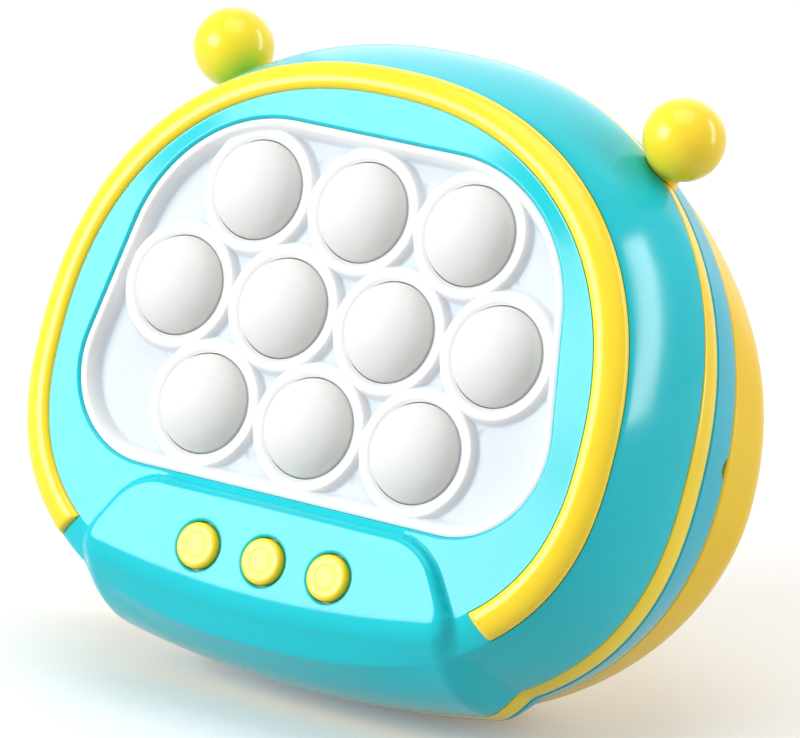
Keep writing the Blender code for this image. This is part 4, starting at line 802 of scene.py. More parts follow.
class Graph:
    """A material's node tree round its Principled shader."""

    def __init__(self, name: str):
        """Makes a material and reads its object coordinates.

        Args:
            name: Its name.
        """
        self.material = bpy.data.materials.new(name)
        self.material.use_nodes = True
        self.tree = self.material.node_tree
        self.shader = self.tree.nodes["Principled BSDF"]
        self.place = self.node("ShaderNodeTexCoord").outputs["Object"]

    def node(self, kind: str, inputs: dict | None = None, **settings: Any) -> bpy.types.Node:
        """Adds a node, sets its properties and feeds its inputs with values or links.

        Args:
            kind: The node's type.
            inputs: A value or link for each socket.
            settings: The node's properties.

        Returns:
            The node.
        """
        node = self.tree.nodes.new(kind)
        for key, value in settings.items():
            setattr(node, key, value)
        for key, value in (inputs or {}).items():
            self.feed(node.inputs[key], value)
        return node

    def feed(self, socket: bpy.types.NodeSocket, value: Any) -> None:
        """Sets or links one input.

        Args:
            socket: The input.
            value: A number, a colour, an output or a Number.
        """
        if isinstance(value, Number):
            value = value.socket
        if isinstance(value, bpy.types.NodeSocket):
            self.tree.links.new(value, socket)
        else:
            socket.default_value = value

    def number(self, kind: str, inputs: dict, output: int | str = 0, **settings: Any) -> Number:
        """Adds a node and returns one of its outputs as a number."""
        return Number(self, self.node(kind, inputs, **settings).outputs[output])

    def maths(self, operation: str, first: Number | float, second: Number | float) -> Number:
        """One arithmetic step."""
        return self.number("ShaderNodeMath", {0: first, 1: second}, operation=operation)

    def glow(self, seen: Number, share: float, strength: float) -> None:
        """Mixes a share of white light into what the camera sees, by a Mix Shader's factor.

        Args:
            seen: 1 where the camera sees it.
            share: How much light is mixed in.
            strength: How strong that light is.
        """
        white = (1.0, 1.0, 1.0, 1.0)
        light = self.node("ShaderNodeEmission", {"Color": white, "Strength": strength})
        inputs = {0: seen * share, 1: self.shader.outputs[0], 2: light.outputs[0]}
        mixed = self.node("ShaderNodeMixShader", inputs)
        self.feed(self.tree.nodes["Material Output"].inputs["Surface"], mixed.outputs[0])

    def noise(self, size: float, detail: float, rough: float = 0.5) -> Number:
        """Cloudy noise from 0 to 1.

        Args:
            size: About how large its features are, in millimetres.
            detail: How many finer layers it has.
            rough: How strong those are.

        Returns:
            The noise.
        """
        scale = 1 / (size * MM)
        inputs = {"Vector": self.place, "Scale": scale, "Detail": detail, "Roughness": rough}
        return self.number("ShaderNodeTexNoise", inputs, "Fac")

    def scratches(self, length: float, stretch: Triple) -> Number:
        """Fine hairs along the axis that is stretched least.

        Args:
            length: Their length, in millimetres.
            stretch: A scale for each axis.

        Returns:
            1 on a hair and 0 beside it.
        """
        inputs = {"Vector": self.place, "Scale": stretch}
        scaled = self.node("ShaderNodeMapping", inputs).outputs[0]
        scale = 1 / (length * MM)
        inputs = {"Vector": scaled, "Scale": scale, "Detail": 3.0, "Roughness": 0.7}
        return self.number("ShaderNodeTexNoise", inputs, "Fac").between(0.62, 0.72)

    def attribute(self, name: str) -> Number:
        """A number that the mesh carries."""
        return self.number("ShaderNodeAttribute", {}, "Fac", attribute_name=name)

    def height(self) -> Number:
        """How high a point stands over the floor, in metres."""
        return self.number("ShaderNodeSeparateXYZ", {"Vector": self.place}, "Z")

    def blend(self, factor: Number, first: Colour, second: Colour) -> bpy.types.NodeSocket:
        """A colour between two, given in sRGB from 0 to 255."""
        inputs = {"Factor": factor, 6: (*linear(first), 1.0), 7: (*linear(second), 1.0)}
        return self.node("ShaderNodeMix", inputs, data_type="RGBA").outputs[2]

    def bump(self, height: Number, distance: float) -> None:
        """Feeds the shader's normal from a height of a distance, in millimetres.

        Args:
            height: The height, from 0 to 1.
            distance: What a height of 1 stands for.
        """
        inputs = {"Height": height, "Distance": distance * MM, "Strength": 1.0}
        bumped = self.node("ShaderNodeBump", inputs)
        self.feed(self.shader.inputs["Normal"], bumped.outputs["Normal"])

    def set(self, **inputs: Any) -> None:
        """Sets or links the shader's inputs, named with _ for each space."""
        for key, value in inputs.items():
            name = key.replace("_", " ")
            self.feed(self.shader.inputs[name], value)


def linear(colour: Colour) -> Colour:
    """An sRGB colour from 0 to 255 as linear light."""
    shares = [value / 255 for value in colour]
    return tuple(v / 12.92 if v <= 0.04045 else ((v + 0.055) / 1.055) ** 2.4 for v in shares)


@dataclass(frozen=True)
class Plastic:
    """Moulded plastic: a colour with faint flow marks, uneven gloss, ripple and fine scuffs.

    Attributes:
        colour, flow: Its colour, and the colour of the flow marks.
        roughness, shine: Its roughness and its specular level.
        ripple, grain, scuff: How strong the ripple, the fine grain and the scuffs are.
        wear: How strong the rubbed patches near the floor are.
        smudge: How much smudges change the roughness.
        mark_dull, mark_depth: How much scuffs add to the roughness, and how deep they are.
    """

    colour: Colour
    flow: Colour
    roughness: float
    shine: float
    ripple: float
    grain: float
    scuff: float
    wear: float = 0.5
    smudge: float = 0.08
    mark_dull: float = 0.3
    mark_depth: float = 0.12

    def build(self, slot: Slot) -> bpy.types.Material:
        """Makes the material.

        Args:
            slot: The slot that it is named after.

        Returns:
            The material.
        """
        graph = Graph(slot.value)
        smudge = graph.noise(18, 3) * self.smudge
        hairs = graph.scratches(9, (1.0, 14.0, 14.0)) * graph.noise(26, 1).between(0.5, 0.75)
        near_floor = (graph.height() * (1 / MM)).between(9, 0)
        worn = near_floor * graph.noise(1.6, 4, 0.7).between(0.45, 0.7)
        marks = hairs * self.scuff + worn * self.wear
        graph.set(
            Base_Color=graph.blend(graph.noise(34, 2).between(0.3, 0.7), self.colour, self.flow),
            Roughness=smudge + marks * self.mark_dull + (self.roughness - self.smudge / 2),
            Specular_IOR_Level=self.shine,
            IOR=1.5,
        )
        relief = graph.noise(7, 1) * self.ripple + graph.noise(0.45, 2) * self.grain
        graph.bump(relief - marks * self.mark_depth, 0.1)
        return graph.material


@dataclass(frozen=True)
class Silicone:
    """Soft moulded silicone: warm white, matt, with a powdery grain, a little dust and painted shade
    in its low places.
    """

    crest: Colour
    floor: Colour
    roughness: float

    def build(self, slot: Slot) -> bpy.types.Material:
        """Makes the material, darker where the mesh's lift is 0: painted shade in the panel's sunk
        floor and round the domes' bases.

        Args:
            slot: The slot that it is named after.

        Returns:
            The material.
        """
        graph = Graph(slot.value)
        dust = graph.noise(0.9, 4, 0.7).between(0.63, 0.75) * graph.noise(15, 1)
        # lift is 1 on crests and 0 in low places, where the floor colour paints shade; dust darkens
        # the colour too
        lift = graph.attribute("lift") - dust * 0.35
        graph.set(
            Base_Color=graph.blend(lift, self.floor, self.crest),
            Roughness=graph.noise(11, 3) * 0.12 + dust * 0.15 + self.roughness,
            Sheen_Weight=0.08,
            Sheen_Roughness=0.4,
            Subsurface_Weight=0.35,
            Subsurface_Scale=0.004,
            Specular_IOR_Level=0.3,
            IOR=1.42,
        )
        graph.bump(graph.noise(0.3, 3) * 0.35 + graph.noise(5, 1), 0.05)
        return graph.material


@dataclass(frozen=True)
class Metal:
    """Bright plated steel with turned hairlines and stains."""

    colour: Colour
    stain: Colour

    def build(self, slot: Slot) -> bpy.types.Material:
        """Makes the material.

        Args:
            slot: The slot that it is named after.

        Returns:
            The material.
        """
        graph = Graph(slot.value)
        stained = graph.noise(1.4, 3).between(0.5, 0.8)
        hairs = graph.scratches(1.2, (1.0, 1.0, 18.0))
        graph.set(
            Base_Color=graph.blend(stained, self.colour, self.stain),
            Metallic=1.0,
            Roughness=graph.noise(0.8, 2) * 0.2 + hairs * 0.12 + 0.2,
        )
        graph.bump(hairs, 0.01)
        return graph.material


@dataclass(frozen=True)
class Printed:
    """A flat thing with a pattern of two colours: a board's tracks or a cell's plain sleeve."""

    ground: Colour
    marks: Colour
    size: float
    roughness: float

    def build(self, slot: Slot) -> bpy.types.Material:
        """Makes the material: marks lie where a wave, bent by noise, crests.

        Args:
            slot: The slot that it is named after.

        Returns:
            The material.
        """
        graph = Graph(slot.value)
        scale = 1 / (self.size * MM)
        inputs = {"Vector": graph.place, "Scale": scale, "Distortion": 3.0, "Detail": 1.0}
        lines = graph.number("ShaderNodeTexWave", inputs, "Fac").between(0.7, 0.8)
        graph.set(
            Base_Color=graph.blend(lines * 0.6, self.ground, self.marks),
            Roughness=graph.noise(3, 2) * 0.15 + self.roughness - lines * 0.1,
        )
        graph.bump(lines, 0.03)
        return graph.material


class Library:
    """The material of each slot, made once."""

    FINISHES = {
        Slot.CYAN: Plastic((4, 200, 212), (2, 196, 208), 0.16, 0.3, 0.05, 0.004, 0.5),
        Slot.BLUE: Plastic((18, 184, 206), (14, 179, 201), 0.22, 0.3, 0.06, 0.01, 0.5),
        Slot.YELLOW: Plastic((255, 221, 42), (253, 217, 34), 0.22, 0.45, 0.05, 0.006, 0.4),
        Slot.AMBER: Plastic((249, 209, 54), (246, 204, 46), 0.28, 0.3, 0.06, 0.03, 0.35),
        # Each silicone's second colour is painted shade for its low places: the panel's sunk floor and
        # the domes' bases
        Slot.PANEL: Silicone((238, 239, 240), (211, 217, 223), 0.42),
        Slot.SOFT: Silicone((226, 225, 224), (222, 218, 213), 0.5),
        Slot.BOARD: Printed((18, 96, 52), (60, 140, 80), 1.6, 0.4),
        Slot.BLACK: Plastic((30, 30, 32), (24, 24, 26), 0.5, 0.5, 0.05, 0.08, 0.3),
        Slot.STEEL: Metal((205, 203, 200), (165, 160, 152)),
        Slot.SLEEVE: Printed((44, 50, 62), (70, 78, 92), 9.0, 0.3),
    }

    def __init__(self) -> None:
        """Builds every finish."""
        self.materials = {slot: finish.build(slot) for slot, finish in self.FINISHES.items()}

    def __getitem__(self, slot: Slot) -> bpy.types.Material:
        """The material of a slot."""
        return self.materials[slot]

    def dress_hidden(self, record: dict) -> None:
        """Gives each CAD node that stays its slot's material.

        Args:
            record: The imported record.
        """
        slots = {entry["node"]: Slot(entry["material_slot"]) for entry in record["subparts"]}
        for name, node in frame["nodes"].items():
            if not node.hide_render:
                node.data.materials.clear()
                node.data.materials.append(self[slots[name]])


# Sub-assemblies


@dataclass(frozen=True)
class Trim:
    """The half-round strip round the face and the groove that it lies in.

    Attributes:
        end: The angle of its right end.
        end_gap: The angle between each end and the groove's.
        bulge, bulge_power: How far it stands off the chord, and how full its section is.
        groove: How deep the groove is under the chord.
        crown, crown_power: Height and fullness of the casing's own bend over the chord.
        edge_share: Where its sides stand, as a share of the chord.
        end_round: The length over which each end is rounded down.
        end_height: The height left at the very end, as a share.
    """

    end: float = math.radians(-45.6)
    end_gap: float = 0.004
    bulge: float = 2.2
    bulge_power: float = 0.86
    groove: float = 1.5
    crown: float = 0.7
    crown_power: float = 0.8
    edge_share: float = 0.056
    end_round: float = 1.2
    end_height: float = 0.55

    def crown_height(self, share: float) -> float:
        """How far the casing stands off the chord, a share of the way along it."""
        return self.crown * math.sin(math.pi * share) ** self.crown_power

    def chord(self, angles: Array, share: float | Array) -> Array:
        """Points a share of the way from the face's outline to the shoulder's."""
        face = FACE.ring(angles)
        return face + share * (SHOULDER.ring(angles) - face)

    def outward(self, angles: Array) -> Array:
        """Unit vectors that stand off that chord.

        Args:
            angles: Where round the casing the points lie.

        Returns:
            A unit vector for each angle.
        """
        chord = SHOULDER.ring(angles) - FACE.ring(angles)
        along = chord / np.linalg.norm(chord, axis=1, keepdims=True)
        out = np.array([0.0, -1.0, 0.0]) + along[:, 1:2] * along
        return out / np.linalg.norm(out, axis=1, keepdims=True)

    def build(self, library: Library) -> None:
        """Sweeps the half-round section from end to end: its arc is squeezed at the ends.

        Args:
            library: The materials.
        """
        first, last = self.end + self.end_gap, math.pi - self.end - self.end_gap
        taper, margin = np.array([0.0, 0.002, 0.006, 0.012, 0.02]), 0.022
        angles = stations()
        inner = angles[(angles > first + margin) & (angles < last - margin)]
        angles = np.concatenate([first + taper, inner, (last - taper)[::-1]])
        run = np.minimum(angles - first, last - angles) * FACE.half_width
        ease = np.sqrt(np.clip(1 - (1 - np.clip(run / self.end_round, 0, 1)) ** 2, 0, 1))
        height = self.end_height + (1 - self.end_height) * ease
        out = self.outward(angles)
        root = (self.groove - CASING.gap) * out
        side = self.edge_share
        columns = [self.chord(angles, side) - root]
        for turn in np.linspace(0, math.pi, 25):
            share = 0.5 - (0.5 - side) * math.cos(turn)
            lift = self.bulge * math.sin(turn) ** self.bulge_power * height
            columns.append(self.chord(angles, share) + lift[:, None] * out)
        columns.append(self.chord(angles, 1 - side) - root)
        strip = loft("trim_strip", list(np.stack(columns, axis=1)), Slot.YELLOW, sharp=40)
        strip.finish(library, ["face_trim"])


TRIM = Trim()


@dataclass(frozen=True)
class Buttons:
    """The three buttons on the chin.

    Attributes:
        names: Their nodes, from the left.
        pitch, height: How far apart they stand, and how high.
        radius: A cap's radius.
        proud: How far a cap stands out of the chin.
        slide: The room round a cap in its hole.
        flange: How far its flange reaches past it.
        soft: The rounding of its edge.
        foot, flange_top: Depths of its foot and of its flange's front.
        ring: Radii across its top and how deep each is sunk, which draws a faint ring.
    """

    names: tuple[str, ...] = ("power_button", "mode_button", "volume_button")
    pitch: float = 16.0
    height: float = -51.017
    radius: float = 4.75
    proud: float = 1.2
    slide: float = 0.35
    flange: float = 1.3
    soft: float = 0.9
    foot: float = 2.0
    flange_top: float = 1.0
    ring: tuple[Pair, ...] = (
        *((reach, 0.0) for reach in (3.7, 2.8, 2.7)),
        *((reach, 0.06) for reach in (2.6, 2.5, 2.4, 2.3)),
        *((reach, 0.01) for reach in (2.2, 2.1, 0.0)),
    )

    def places(self) -> list[Pair]:
        """The (x, z) centres."""
        return [((index - 1) * self.pitch, self.height) for index in range(len(self.names))]

    def build(self, library: Library) -> None:
        """Turns each cap: a flange, a skirt, a soft edge and a faint ring sunk in its flat top.

        Args:
            library: The materials.
        """
        top = -CHIN.rise - self.proud
        soft, wide = self.soft, self.radius + self.flange
        profile = [
            (0.0, self.foot),
            (wide, self.foot),
            (wide, self.flange_top),
            (self.radius, self.flange_top),
            (self.radius, top + soft),
            *arc((self.radius - soft, top + soft), soft, 0, -90, 8)[1:],
            *((reach, top + sunk) for reach, sunk in self.ring),
        ]
        for name, place in zip(self.names, self.places()):
            turned(f"{name}_cap", profile, place, Slot.YELLOW, 72).finish(library, [name], name)


BUTTONS = Buttons()


@dataclass(frozen=True)
class FrontBody:
    """The front casing: face, groove, shoulder, side wall and chin in one skin.

    Attributes:
        lip, lip_depth: Radius of the opening's round edge, and its centre's depth.
        face_steps, side_steps: Rings across the face and down the side wall.
        groove_start, groove_end: Shares of the trim's chord between which the groove lies.
        ease_start, ease_end: The rings, counted from the face's last, that ease_rings takes.
        ease_passes: How often it takes them.
        hole_soft, hole_end: The rounding of the button holes, and how deep their tool goes.
        rim_share: How much of the wall the rounded rim at the seam takes up.
        straight: How far the inner wall runs straight back from the seam.
        face_back, seat: Depths behind the face and of the panel's seat.
    """

    lip: float = 0.7
    lip_depth: float = 1.5
    face_steps: int = 30
    side_steps: int = 26
    groove_start: float = 0.045
    groove_end: float = 0.955
    ease_start: int = 6
    ease_end: int = 26
    ease_passes: int = 4
    hole_soft: float = 0.6
    hole_end: float = 6.5
    rim_share: float = 0.12
    straight: float = 6.0
    face_back: float = 4.6
    seat: float = 3.1

    def skin(self, angles: Array) -> tuple[list[Array], Array]:
        """The outer rings before the chin, and how deep each point lies in the trim's groove.

        Args:
            angles: Where round the casing the points lie.

        Returns:
            The rings from the opening's lip to the seam, and the groove's depth at each.
        """
        edge = OPENING.ring(angles, -self.lip, OPENING.depth)
        face = FACE.ring(angles)
        shares = np.linspace(0, 1, self.face_steps, endpoint=False)
        rings = [edge + share * (face - edge) for share in shares]
        depths = [0.0] * len(rings)
        out = TRIM.outward(angles)
        before, after = (0, 0.02, 0.035, self.groove_start, 0.07), (0.93, self.groove_end, 0.965, 0.98)
        for share in (*before, *np.linspace(0.12, 0.88, 9), *after):
            crown = TRIM.crown_height(share)
            rings.append(TRIM.chord(angles, share) + crown * out)
            sunk = self.groove_start <= share <= self.groove_end
            depths.append(TRIM.groove + crown if sunk else 0.0)
        for share in np.linspace(0, 1, self.side_steps):
            depth = SHOULDER.depth + share * (SEAM.depth - SHOULDER.depth)
            rings.append(SHOULDER.towards(SEAM, depth, side_bend(share)).ring(angles))
            depths.append(0.0)
        return rings, np.array(depths)

    def closed(self, angles: Array, skin: Array) -> list[Array]:
        """The skin's rings with the opening's lip before them and the inner wall after them.

        Args:
            angles: Where round the casing the points lie.
            skin: The skin's rings, chin and groove included.

        Returns:
            The rings of the whole shell.
        """
        lip = arc((self.lip, self.lip_depth), self.lip, 180, 270)[:-1]
        seam, wall, depth = skin[-1], CASING.wall, SEAM.depth + 0.001
        return [
            *(OPENING.ring(angles, -inset, depth) for inset, depth in lip),
            *skin[:-1],
            seam - [0.0, CASING.soft, 0.0],
            seam_ring(seam, wall * self.rim_share, depth),
            seam_ring(seam, wall, depth),
            seam_ring(seam, wall, SEAM.depth - self.straight),
            SHOULDER.inset(wall + 0.4, SHOULDER.depth + 4).ring(angles),
            FACE.inset(0.7, self.face_back).ring(angles),
            OPENING.ring(angles, 0.0, self.seat),
        ]

    def build(self, library: Library) -> None:
        """Builds the shell, cuts the button holes and finishes it.

        Args:
            library: The materials.
        """
        angles = stations()
        rings, depths = self.skin(angles)
        first, last = self.face_steps + self.ease_start, self.face_steps + self.ease_end
        grid = ease_rings(np.array(rings), first, last, self.ease_passes)
        normals = surface_normals(grid)
        in_trim = (angles > TRIM.end) & (angles < math.pi - TRIM.end)
        flat, flat_normals = grid.reshape(-1, 3), normals.reshape(-1, 3)
        low = flat[:, 2] < CHIN.top + CHIN.margin
        lift = np.zeros(len(flat))
        lift[low] = CHIN.raise_skin(flat[low], flat_normals[low])
        lift = lift.reshape(grid.shape[:2]) - depths[:, None] * in_trim
        grid = grid + lift[..., None] * normals
        shell = loft("front_body", self.closed(angles, grid), Slot.CYAN, joined=True, sharp=32)
        radius, face, soft = BUTTONS.radius + BUTTONS.slide, -CHIN.rise, self.hole_soft
        hole = [
            (0.0, face - 3),
            (radius + 3, face - 3),
            *arc((radius + soft, face + soft), soft, 270, 180),
            (radius, self.hole_end),
            (0.0, self.hole_end),
        ]
        for index, place in enumerate(BUTTONS.places()):
            tool = turned(f"button_hole_{index}", hole, place, segments=72)
            shell.apply(tool, Operation.CUT)
        shell.finish(library, ["front_shell"])


def side_bend(share: float) -> float:
    """How far the side wall has widened, a share of the way from shoulder to seam."""
    return 1 - (1 - share) ** 1.6


def ease_rings(grid: Array, first: int, last: int, passes: int) -> Array:
    """Averages a span of rings with their neighbours, which rounds the shoulder's edge.

    Args:
        grid: The rings.
        first: The first that is averaged.
        last: The one after the last.
        passes: How often.

    Returns:
        The rings, changed in place.
    """
    for _ in range(passes):
        before, here, after = (grid[first + step : last + step] for step in (-1, 0, 1))
        grid[first:last] = (before + 2 * here + after) / 4
    return grid


def seam_ring(ring: Array, wall: float, depth: float) -> Array:
    """A ring drawn in by a wall towards the casing's axis, at a depth.

    Args:
        ring: The ring.
        wall: How far it is drawn in.
        depth: The depth of its points.

    Returns:
        The smaller ring.
    """
    flat = ring[:, [0, 2]] + np.array([0.0, CASING.waist])
    reach = np.hypot(*flat.T)[:, None]
    flat = flat * (reach - wall) / reach - np.array([0.0, CASING.waist])
    return at_depth(flat, depth)


@dataclass(frozen=True)
class Bubbles:
    """The ten domes, and the rings round them.

    Attributes:
        pitch, rows: How far apart the domes stand, and how many are in each row.
        radius, height: A dome's radius and height.
        ball_share: How much of its curve is a ball's: the rest is an ellipse's.
        hollow, wall: Its hollow's width as a share, and its wall at the top.
        skirt, skirt_root: Radius of its skirt, and how far under the crests it ends.
        flange, flange_front, flange_back: Radius and depths of its flange.
        post, post_end: Radius and end of the post over its switch.
        crest_depth: The depth of the rings' crests.
        ring_crest, ring_outer: Radii of a ring's crest and outer foot.
        shade: The depths between which a dome's colour darkens to painted shade towards its base.
    """

    pitch: float = 26.0
    rows: tuple[int, ...] = (3, 4, 3)
    radius: float = 10.05
    height: float = 5.6
    ball_share: float = 0.45
    hollow: float = 0.885
    wall: float = 1.2
    skirt: float = 10.3
    skirt_root: float = 0.75
    flange: float = 12.0
    flange_front: float = 6.6
    flange_back: float = 7.8
    post: float = 2.2
    post_end: float = 9.0
    crest_depth: float = 2.3
    ring_crest: float = 12.1
    ring_outer: float = 13.3
    shade: Pair = (-1.5, 2.9)

    def places(self) -> list[Pair]:
        """The (x, z) centres, row by row from the top left.

        Returns:
            The centres.
        """
        row_pitch = self.pitch * math.sqrt(3) / 2
        places = []
        for row, count in enumerate(self.rows):
            z = (len(self.rows) // 2 - row) * row_pitch
            places += [((index - (count - 1) / 2) * self.pitch, z) for index in range(count)]
        return places

    def profile(self) -> list[Pair]:
        """A dome's profile: a cap between a ball's and an ellipse's on a short skirt, hollow.

        Returns:
            The (radius, depth) points.
        """
        ball = (self.radius**2 + self.height**2) / (2 * self.height)
        spread = math.asin(self.radius / ball)
        shares = np.linspace(0, 1, 26)
        angles, turns = spread * (1 - shares), math.pi / 2 * shares
        cap = ball * np.array([np.sin(angles), np.cos(angles) - math.cos(spread)])
        oval = np.array([self.radius * np.cos(turns), self.height * np.sin(turns)])
        reach, rise = self.ball_share * cap + (1 - self.ball_share) * oval
        outer = list(zip(reach, self.crest_depth - rise))
        inner = [(radius * self.hollow, depth + self.wall) for radius, depth in outer[::5]]
        outer[-1] = (0.0, outer[-1][1])
        root = self.crest_depth + self.skirt_root
        return [
            (0.0, self.post_end),
            (self.post, self.post_end),
            (self.post, inner[-2][1]),
            *inner[-2::-1],
            (inner[0][0], self.flange_back),
            (self.flange, self.flange_back),
            (self.flange, self.flange_front),
            (self.skirt, self.flange_front),
            (self.skirt, root + 0.15),
            (self.skirt - 0.12, root),
            *outer,
        ]

    def build(self, library: Library) -> None:
        """Turns each dome and lets it ride on its own body.

        Args:
            library: The materials.
        """
        profile = self.profile()
        for index, place in enumerate(self.places(), start=1):
            name = f"bubble_{index}"
            dome = turned(f"{name}_dome", profile, place, Slot.SOFT, 72)
            # Painted shade: the dome darkens towards its base, by a lift that falls with depth
            depth = CASING.depth(read_array(dome.object.data.vertices, "co", 3))
            dome.carry("lift", 1 - smooth(depth, *self.shade))
            dome.finish(library, [name], name)


BUBBLES = Bubbles()


@dataclass(frozen=True)
class Panel:
    """The white panel as a height field: rim, sunk floor and raised rings that run together.

    Attributes:
        floor, back: Depths of the sunk floor and of the panel's back.
        rim_top: The rim's depth.
        rim_start, rim_end: How far in from the opening the rim begins and ends to fall.
        edge: The gap between the panel and the opening.
        edge_drop, edge_start, edge_end: How far the rim's outer edge is rounded down, and between
            which insets.
        hole, hole_segments: Radius and segments of the holes for the domes.
        outer_start, outer_end: How far past its crest and its foot a ring falls off.
        inner_drop: How much lower a ring is at its hole, as a share.
        inner_end: How far out from the hole that share is gone.
        crown: How much a ring's top bends, as a share over a millimetre squared.
        blend: The height over which rim, floor and rings run together.
        rim_insets, ring_radii: The loops of mesh points along the rim and round each dome.
        meeting_rows: The rows of mesh points beside a line where two rings meet.
        meeting_reach, meeting_gap: Half the length of those rows, and how far loops keep off.
        spacing, clear: The spacing of the points on the floor, and how far domes keep them off.
    """

    floor: float = 4.3
    back: float = 6.3
    rim_top: float = 1.05
    rim_start: float = 1.2
    rim_end: float = 3.5
    edge: float = 0.08
    edge_drop: float = 0.4
    edge_start: float = -0.2
    edge_end: float = 0.8
    hole: float = 10.5
    hole_segments: int = 88
    outer_start: float = 0.65
    outer_end: float = 0.8
    inner_drop: float = 0.22
    inner_end: float = 0.9
    crown: float = 0.03
    blend: float = 0.4
    rim_insets: Floats = (
        *(0.2, 0.35, 0.55, 0.8, 1.15, 1.5, 1.85),
        *(2.15, 2.5, 2.85, 3.2, 3.5, 3.9),
    )
    ring_radii: Floats = (
        *(10.7, 10.95, 11.25, 11.6, 12.0, 12.4, 12.7),
        *(12.95, 13.2, 13.45, 13.7, 13.95, 14.3),
    )
    meeting_rows: Floats = (-0.85, -0.6, -0.38, -0.2, 0.0, 0.2, 0.38, 0.6, 0.85)
    meeting_reach: float = 6.6
    meeting_gap: float = 1.05
    spacing: float = 1.9
    clear: float = 14.9

    def depth(self, flat: Array) -> Array:
        """The panel's depth at (x, z) points: the higher of rim, floor and rings, softly merged.

        Args:
            flat: The (x, z) points.

        Returns:
            A depth for each point.
        """
        inset = -outline_distance(flat, OPENING.outline(0.0))
        fall = smooth(inset, self.rim_start, self.rim_end)
        rim = self.rim_top + (self.floor - self.rim_top) * fall
        rim = rim + self.edge_drop * (1 - smooth(inset, self.edge_start, self.edge_end))
        height = self.floor - rim
        start, end = BUBBLES.ring_crest + self.outer_start, BUBBLES.ring_outer + self.outer_end
        for place in BUBBLES.places():
            reach = np.hypot(*(flat - np.array(place)).T)
            outer = 1 - smooth(reach, start, end)
            inner = 1 - self.inner_drop * (1 - smooth(reach, self.hole, self.hole + self.inner_end))
            crown = 1 - self.crown * (reach - BUBBLES.ring_crest) ** 2
            ring = (self.floor - BUBBLES.crest_depth) * outer * inner * crown
            merged = np.sqrt((height - ring) ** 2 + self.blend**2 * outer)
            height = (height + ring + merged) / 2 - self.blend / 2 * outer
        return self.floor - height

    def sample_points(self) -> tuple[Array, Array]:
        """Points along the rim's and the rings' own circles, with filler between them.

        Returns:
            The points, and the pairs of them that the outline and the holes keep as edges.
        """
        turns = np.arange(self.hole_segments) * TURN / self.hole_segments
        circle = np.column_stack([np.cos(turns), np.sin(turns)])
        centres = np.array(BUBBLES.places())
        angles = stations()
        border = OPENING.ring(angles, self.edge, 0.0)[:, [0, 2]]
        loops = [border, *(centre + self.hole * circle for centre in centres)]
        edges, start = [], 0
        for loop in loops:
            here = np.arange(len(loop))
            edges.append(start + np.column_stack([here, np.roll(here, -1)]))
            start += len(loop)
        bounds = OPENING.outline(0.0)
        fill = []
        for inset in self.rim_insets:
            line = OPENING.ring(angles, inset, 0.0)[:, [0, 2]]
            fill.append(line[dome_distances(line)[0] > BUBBLES.ring_outer + 1.1])
        for radius in self.ring_radii:
            rings = (centres[:, None] + radius * circle).reshape(-1, 2)
            first, second = dome_distances(rings)
            from_meeting = (second**2 - first**2) / (2 * BUBBLES.pitch)
            own = (first > radius - 0.06) & (from_meeting > self.meeting_gap)
            fill.append(rings[own & (outline_distance(rings, bounds) < -0.5)])
        fill.append(self.meeting_lines(centres))
        across, up = (np.arange(-half, half + 1, self.spacing) for half in (60, 38))
        grid = np.stack(np.meshgrid(across, up), -1).reshape(-1, 2)
        clear = (dome_distances(grid)[0] > self.clear) & (outline_distance(grid, bounds) < -4.5)
        fill.append(grid[clear])
        return np.concatenate([*loops, *fill]), np.concatenate(edges)

    def meeting_lines(self, centres: Array) -> Array:
        """Points in rows along the lines where the rings of two neighbours meet.

        Args:
            centres: The domes' (x, z) centres.

        Returns:
            The (x, z) points.
        """
        pairs = [(one, other) for one in centres for other in centres if tuple(one) < tuple(other)]
        first, second = np.array(pairs).swapaxes(0, 1)
        near = np.linalg.norm(second - first, axis=1) < BUBBLES.pitch + 0.5
        first, second = first[near, None, None], second[near, None, None]
        across = (second - first) / BUBBLES.pitch
        along = across[..., ::-1] * [-1, 1]
        steps = np.array(self.meeting_rows)[:, None, None]
        run = np.linspace(-self.meeting_reach, self.meeting_reach, 61)[:, None]
        return ((first + second) / 2 + steps * across + run * along).reshape(-1, 2)

    def build(self, library: Library) -> None:
        """Triangulates the field, closes it with walls and a flat back, and sets exact normals.

        Args:
            library: The materials.
        """
        points, edges = self.sample_points()
        result = delaunay_2d_cdt([Vector(point) for point in points], edges.tolist(), [], 0, 1e-5)
        flat, triangles = np.array(result[0]), np.array(result[2])
        middle = flat[triangles].mean(axis=1)
        inside = outline_distance(middle, points[: len(stations())]) < 0
        hole_reach = self.hole * math.cos(math.pi / self.hole_segments)
        outside_holes = dome_distances(middle)[0] > hole_reach
        triangles = triangles[inside & outside_holes]
        used = np.unique(triangles)
        triangles = np.searchsorted(used, triangles)
        flat = flat[used]
        count = len(flat)
        directed = triangles[:, [0, 1, 1, 2, 2, 0]].reshape(-1, 2)
        code, reverse = directed @ [count, 1], directed @ [1, count]
        rim = directed[~np.isin(code, reverse)]
        walls = np.column_stack([rim[:, ::-1], rim + count])
        faces = triangles.tolist() + (triangles[:, ::-1] + count).tolist() + walls.tolist()
        front = self.depth(flat)
        places = np.concatenate([at_depth(flat, front), at_depth(flat, self.back)])
        piece = Piece("panel_skin", places, faces, Slot.PANEL)
        self.set_normals(piece.object.data, flat)
        # Painted shade: the lift is 0 on the sunk floor, which takes the silicone's darker, cooler
        # floor colour
        crest = (self.floor - front) / (self.floor - BUBBLES.crest_depth)
        piece.carry("lift", np.concatenate([np.clip(crest, 0, 1), np.zeros(count)]))
        piece.finish(library, ["bubble_panel"])

